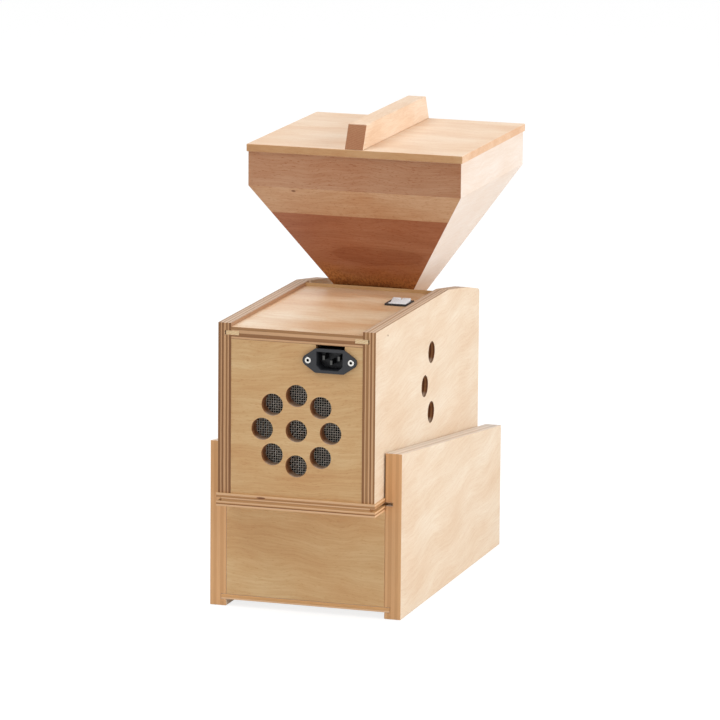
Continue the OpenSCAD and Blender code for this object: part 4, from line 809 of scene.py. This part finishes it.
class MILL_OT_hopper(bpy.types.Operator):
    """Hopper of four mitred beech boards, the rear and front ones glued from two planks"""

    bl_idname = "mill.hopper"
    bl_label = "Hopper"

    def execute(self, context):
        wood = context.scene.mill_wood
        # The left board's paler, greyer colour stands in for the light on it: painted light.
        low, foot, light = tuple(wood.hopper_low), tuple(wood.hopper_foot), tuple(wood.hopper_light)
        lid, band, warm = tuple(wood.lid_tone), tuple(wood.hopper_band), tuple(wood.hopper_warm)
        rear_planks = (GLUE_LINE, low, foot, band)
        front_planks = (GLUE_LINE - 6, lid, None, warm)
        for seed, (side, grain, thin, tone, contrast, look) in enumerate((
            ("rear", "x", "y", tuple(wood.hopper_tone), 1.5,
             dict(planks=rear_planks, flecks=1.6, marks=HOPPER_KNOT)),
            ("front", "x", "y", warm, 1.0, dict(planks=front_planks)),
            ("left", "y", "x", light, 0.55, dict(flecks=0.8)),
            ("right", "y", "x", warm, 0.7, {}),
        ), 41):
            node = f"hopper_{side}_board"
            material = beech(f"beech_{node}", grain, thin, tone, seed, contrast, **look)
            eased_piece(f"{node}_planks", node, material, "beech", wood.edge_break * 0.7)
        return {"FINISHED"}


class MILL_OT_lid(bpy.types.Operator):
    """Lid board, the grip bar across it and the battens under it"""

    bl_idname = "mill.lid"
    bl_label = "Lid"

    def execute(self, context):
        wood = context.scene.mill_wood
        tone = tuple(wood.lid_tone)
        for seed, (node, grain, thin, look) in enumerate((
            ("lid_board", "x", "z", dict(end=0.8, edge_tone=tuple(wood.lid_edge))),
            ("lid_grip", "y", "x", dict(end=0.26, end_warmth=0.42)),
            ("lid_battens", "y", "z", dict(end=0.7)),
        ), 51):
            material = beech(f"beech_{node}", grain, thin, tone, seed, **look)
            eased_piece(f"{node}_wood", node, material, "beech", wood.edge_break * 1.2)
        return {"FINISHED"}


class MILL_OT_screen(bpy.types.Operator):
    """Woven wire behind the rear vents"""

    bl_idname = "mill.screen"
    bl_label = "Vent screen"

    def execute(self, context):
        screen = context.scene.mill_screen
        low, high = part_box("vent_screen")
        centre = [(a + b) / 2 for a, b in zip(low, high)]
        width = (high[0] - low[0]) * 0.97  # the waves stay inside the frame's screen
        steel = worked_metal("screen_wire", (0.78, 0.76, 0.70), "x", 0.55)
        mesh = woven_wire(width, screen.pitch, screen.wire, centre, steel)
        place_piece("woven_vent_screen", mesh, steel, "housing", "steel", "vent_screen")
        return {"FINISHED"}


class MILL_OT_electrics(bpy.types.Operator):
    """Mains inlet, rocker switch, capacitor and wires"""

    bl_idname = "mill.electrics"
    bl_label = "Inlet, switch and wires"

    def execute(self, context):
        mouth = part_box("inlet_rivets")[0][1] * MM
        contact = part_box("inlet_pins")[1][1] * MM
        black = moulded_plastic("black_moulding", (0.018, 0.018, 0.021))
        # The socket's recess gets painted shade past its mouth.
        socket = moulded_plastic("socket_moulding", (0.022, 0.023, 0.027), 0.45, mouth)
        grey = moulded_plastic("rocker_moulding", (0.74, 0.75, 0.76), 0.3)
        can = moulded_plastic("capacitor_case", (0.030, 0.031, 0.035), 0.55)
        nickel = worked_metal("nickelled_brass", (0.78, 0.76, 0.72), "y", 0.22)
        # Dark pins with a painted glint at their tips.
        pins = worked_metal("contact_pins", (0.11, 0.11, 0.105), "y", 0.4, contact)
        clip = worked_metal("clip_steel", (0.06, 0.06, 0.063), "x", 0.55)
        for name, node, material, slot, ease, smooth in (
            ("inlet_moulding", "inlet_socket", socket, "black_plastic", 0.0004, 30),
            ("switch_frame", "switch_housing", black, "black_plastic", 0.0004, 30),
            ("rocker", "switch_rocker", grey, "grey_plastic", 0.0006, 40),
            ("capacitor_can", "run_capacitor", can, "black_plastic", 0.0008, 30),
            ("eyelet_rivets", "inlet_rivets", nickel, "steel", 0.0003, 50),
        ):
            eased_piece(name, node, material, slot, ease, smooth)
        coat_nodes(pins, "inlet_pins")
        coat_nodes(clip, "capacitor_clip")
        coat_nodes(insulated_wire("wire_insulation", (0.03, 0.03, 0.035)), "wiring")
        return {"FINISHED"}


class MILL_OT_drawer(bpy.types.Operator):
    """Flour drawer with its plywood front and bottom, beech sides and back"""

    bl_idname = "mill.drawer"
    bl_label = "Flour drawer"

    def execute(self, context):
        wood = context.scene.mill_wood
        lid, ease = tuple(wood.lid_tone), wood.edge_break
        front = plywood("drawer_front", "x", "y", "rear_tone", 61)
        floor = plywood("drawer_bottom", "y", "z", "side_tone", 62, plies=3)
        sides = beech("beech_drawer_sides", "y", "x", lid, 63)
        back = beech("beech_drawer_back", "x", "y", lid, 64)
        eased_piece("drawer_front_board", "drawer_front", front, "plywood", ease)
        eased_piece("drawer_floor", "drawer_bottom", floor, "plywood", ease * 0.5)
        eased_piece("drawer_side_boards", "drawer_sides", sides, "beech", ease)
        eased_piece("drawer_back_board", "drawer_back", back, "beech", ease)
        return {"FINISHED"}


class MILL_OT_knobs(bpy.types.Operator):
    """Turned beech knobs of spindle and drawer, and the scale of studs"""

    bl_idname = "mill.knobs"
    bl_label = "Knobs and scale"

    def execute(self, context):
        tone = tuple(context.scene.mill_wood.hopper_tone)
        scale = context.scene.mill_scale
        brass = worked_metal("turned_brass", (0.66, 0.47, 0.20), "y", 0.24)
        for seed, node in enumerate(("adjusting_knob", "drawer_knob"), 71):
            turned = beech(f"beech_{node}", "y", "x", tone, seed)
            eased_piece(f"turned_{node}", node, turned, "beech", 0.0004, 35)
        eased_piece("brass_bush", "knob_bush", brass, "brass", 0.0005, 30)
        low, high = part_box("adjusting_knob")
        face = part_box("front_panel")[0][1]
        beside = 0.006  # from the knob's rim to the studs
        radius = (high[0] - low[0]) / 2 + beside
        centre = ((low[0] + high[0]) / 2, face, (low[2] + high[2]) / 2)
        sweep = math.radians(270)
        mesh = scale_studs(scale.studs, radius, scale.stud, sweep, centre, brass)
        place_piece("brass_scale_studs", mesh, brass, "housing", "brass")
        return {"FINISHED"}


class MILL_OT_motor(bpy.types.Operator):
    """Motor: shell, cowl, shields, cores, end turns, bearings, shaft and fan; screws and brads"""

    bl_idname = "mill.motor"
    bl_label = "Motor"

    def execute(self, context):
        coat_nodes(enamelled_metal("motor_enamel", (0.11, 0.125, 0.14)), "motor_shell")
        # Near-black on the cowl and on the rear shield, a casting, darkens what shows through the
        # vents: painted shade inside the housing.
        lacquer_and_shade = moulded_plastic("cowl_lacquer", (0.022, 0.024, 0.028), 0.7)
        coat_nodes(lacquer_and_shade, "fan_cowl", "motor_rear_shield")
        coat_nodes(cast_metal("cast_aluminium", (0.56, 0.57, 0.58)), "motor_front_shield")
        coat_nodes(sheet_stack("core_sheets", (0.28, 0.28, 0.29)), "stator_core", "rotor_core")
        coat_nodes(worked_metal("ground_steel", (0.66, 0.66, 0.67), "y", 0.2), "motor_bearings")
        coat_nodes(worked_metal("oiled_steel", (0.10, 0.10, 0.105), "y", 0.45), "motor_shaft")
        plated = worked_metal("plated_steel", (0.60, 0.60, 0.58), "z", 0.3)
        coat_nodes(plated, "flange_bolts", "deck_screws")
        coat_nodes(worked_metal("brad_wire", (0.03, 0.026, 0.023), "x", 0.6), "panel_brads")
        coat_nodes(moulded_plastic("fan_moulding", (0.018, 0.018, 0.020), 0.75), "cooling_fan")
        copper = varnished_copper("varnished_copper", (0.55, 0.19, 0.07))
        low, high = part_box("stator_windings")
        core_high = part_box("stator_core")[1]
        turns, wire, width = 64, 0.0011, 0.0135
        reach = width / 2
        ring = (high[0] - low[0]) / 2 - reach
        rise = (high[1] - core_high[1]) / 2
        shape = bmesh.new()
        for y in (high[1] - rise, low[1] + rise):
            centre = ((low[0] + high[0]) / 2, y, (low[2] + high[2]) / 2)
            sizes = turns, ring, reach - wire, rise - wire, wire
            shape.from_mesh(wound_ring(*sizes, centre, copper))
        mesh = bpy.data.meshes.new("wound_end_turns")
        shape.to_mesh(mesh)
        shape.free()
        place_piece("wound_end_turns", mesh, copper, "housing", "copper", "stator_windings")
        return {"FINISHED"}


class MILL_OT_stones(bpy.types.Operator):
    """Mill stones with holder, carrier, chamber, auger, spindle and chute"""

    bl_idname = "mill.stones"
    bl_label = "Mill stones"

    def execute(self, context):
        coat_nodes(bonded_stone("bonded_stone", (0.72, 0.68, 0.60)), "runner_stone", "fixed_stone")
        cast = cast_metal("mill_casting", (0.60, 0.60, 0.59), 1.1)
        coat_nodes(cast, "grinding_chamber", "runner_holder", "stone_carrier")
        bright = worked_metal("bright_steel", (0.62, 0.61, 0.60), "y", 0.25)
        coat_nodes(bright, "feed_auger", "adjusting_spindle")
        coat_nodes(worked_metal("chute_sheet", (0.58, 0.58, 0.57), "z", 0.28), "feed_chute")
        return {"FINISHED"}


class MILL_OT_stage(bpy.types.Operator):
    """Floor, lamps, world and the camera at the photograph's place"""

    bl_idname = "mill.stage"
    bl_label = "Stage"

    def execute(self, context):
        scene = context.scene
        stage = scene.mill_stage
        reach, under = 15.0, -0.0003
        corners = [(x * reach, y * reach, under) for x, y in ((-1, -1), (1, -1), (1, 1), (-1, 1))]
        mesh = bpy.data.meshes.new("floor")
        mesh.from_pydata(corners, [], [(0, 1, 2, 3)])
        mesh.materials.append(pale_floor())
        floor = bpy.data.objects.new("floor", mesh)
        scene.collection.objects.link(floor)
        aim = Vector((0, 0, 0.2))
        for name, spot, size, power in (
            ("key_lamp", (-3.2, 0.3, 1.5), 2.6, stage.key),
            ("top_lamp", (1.0, 0.7, 2.9), 2.0, stage.top),
        ):
            light = bpy.data.lights.new(name, "AREA")
            light.shape = "DISK"
            light.size = size
            light.energy = power
            lamp = bpy.data.objects.new(name, light)
            lamp.location = spot
            lamp.rotation_euler = (aim - Vector(spot)).to_track_quat("-Z", "Y").to_euler()
            scene.collection.objects.link(lamp)
        world = Finish("soft_white", "worlds")
        level = world.seen_rays() * (1 - stage.fill) + stage.fill
        sky = world.add("ShaderNodeBackground", {}, {"Color": (1, 1, 1), "Strength": level})
        world.add("ShaderNodeOutputWorld", {}, {"Surface": sky})
        scene.world = world.owner
        scene.view_settings.view_transform = "Standard"
        lens = bpy.data.cameras.new("photo_camera")
        lens.sensor_width = CAMERA_SENSOR
        lens.lens = CAMERA_LENS
        lens.clip_end = 100.0
        camera = bpy.data.objects.new("photo_camera", lens)
        back = -Vector(CAMERA_LOOK).normalized()
        right = Vector(CAMERA_RIGHT)
        right = (right - back * right.dot(back)).normalized()
        turn = Matrix((right, back.cross(right), back)).transposed().to_4x4()
        camera.matrix_world = Matrix.Translation(CAMERA_PLACE) @ turn
        scene.collection.objects.link(camera)
        scene.camera = camera
        return {"FINISHED"}


PIECES = (
    MILL_OT_housing,
    MILL_OT_hopper,
    MILL_OT_lid,
    MILL_OT_screen,
    MILL_OT_electrics,
    MILL_OT_drawer,
    MILL_OT_knobs,
    MILL_OT_motor,
    MILL_OT_stones,
    MILL_OT_stage,
)
SETTINGS = {
    "mill_wood": MillWood,
    "mill_screen": MillScreen,
    "mill_scale": MillScale,
    "mill_stage": MillStage,
}


class MILL_PT_panel(bpy.types.Panel):
    """Buttons for each part of the mill"""

    bl_idname = "MILL_PT_panel"
    bl_label = "Stone grain mill"
    bl_space_type = "VIEW_3D"
    bl_region_type = "UI"
    bl_category = "Mill"

    def draw(self, context):
        for name, group in SETTINGS.items():
            for key in group.__annotations__:
                self.layout.prop(getattr(context.scene, name), key)
        for piece in PIECES:
            self.layout.operator(piece.bl_idname)


def register():
    for kind in (*SETTINGS.values(), *PIECES, MILL_PT_panel):
        bpy.utils.register_class(kind)
    for name, group in SETTINGS.items():
        setattr(bpy.types.Scene, name, PointerProperty(type=group))


def unregister():
    for name in SETTINGS:
        delattr(bpy.types.Scene, name)
    for kind in reversed((*SETTINGS.values(), *PIECES, MILL_PT_panel)):
        bpy.utils.unregister_class(kind)


def main():
    register()
    for piece in PIECES:
        group, name = piece.bl_idname.split(".")
        getattr(getattr(bpy.ops, group), name)()


if __name__ == "__main__":
    main()
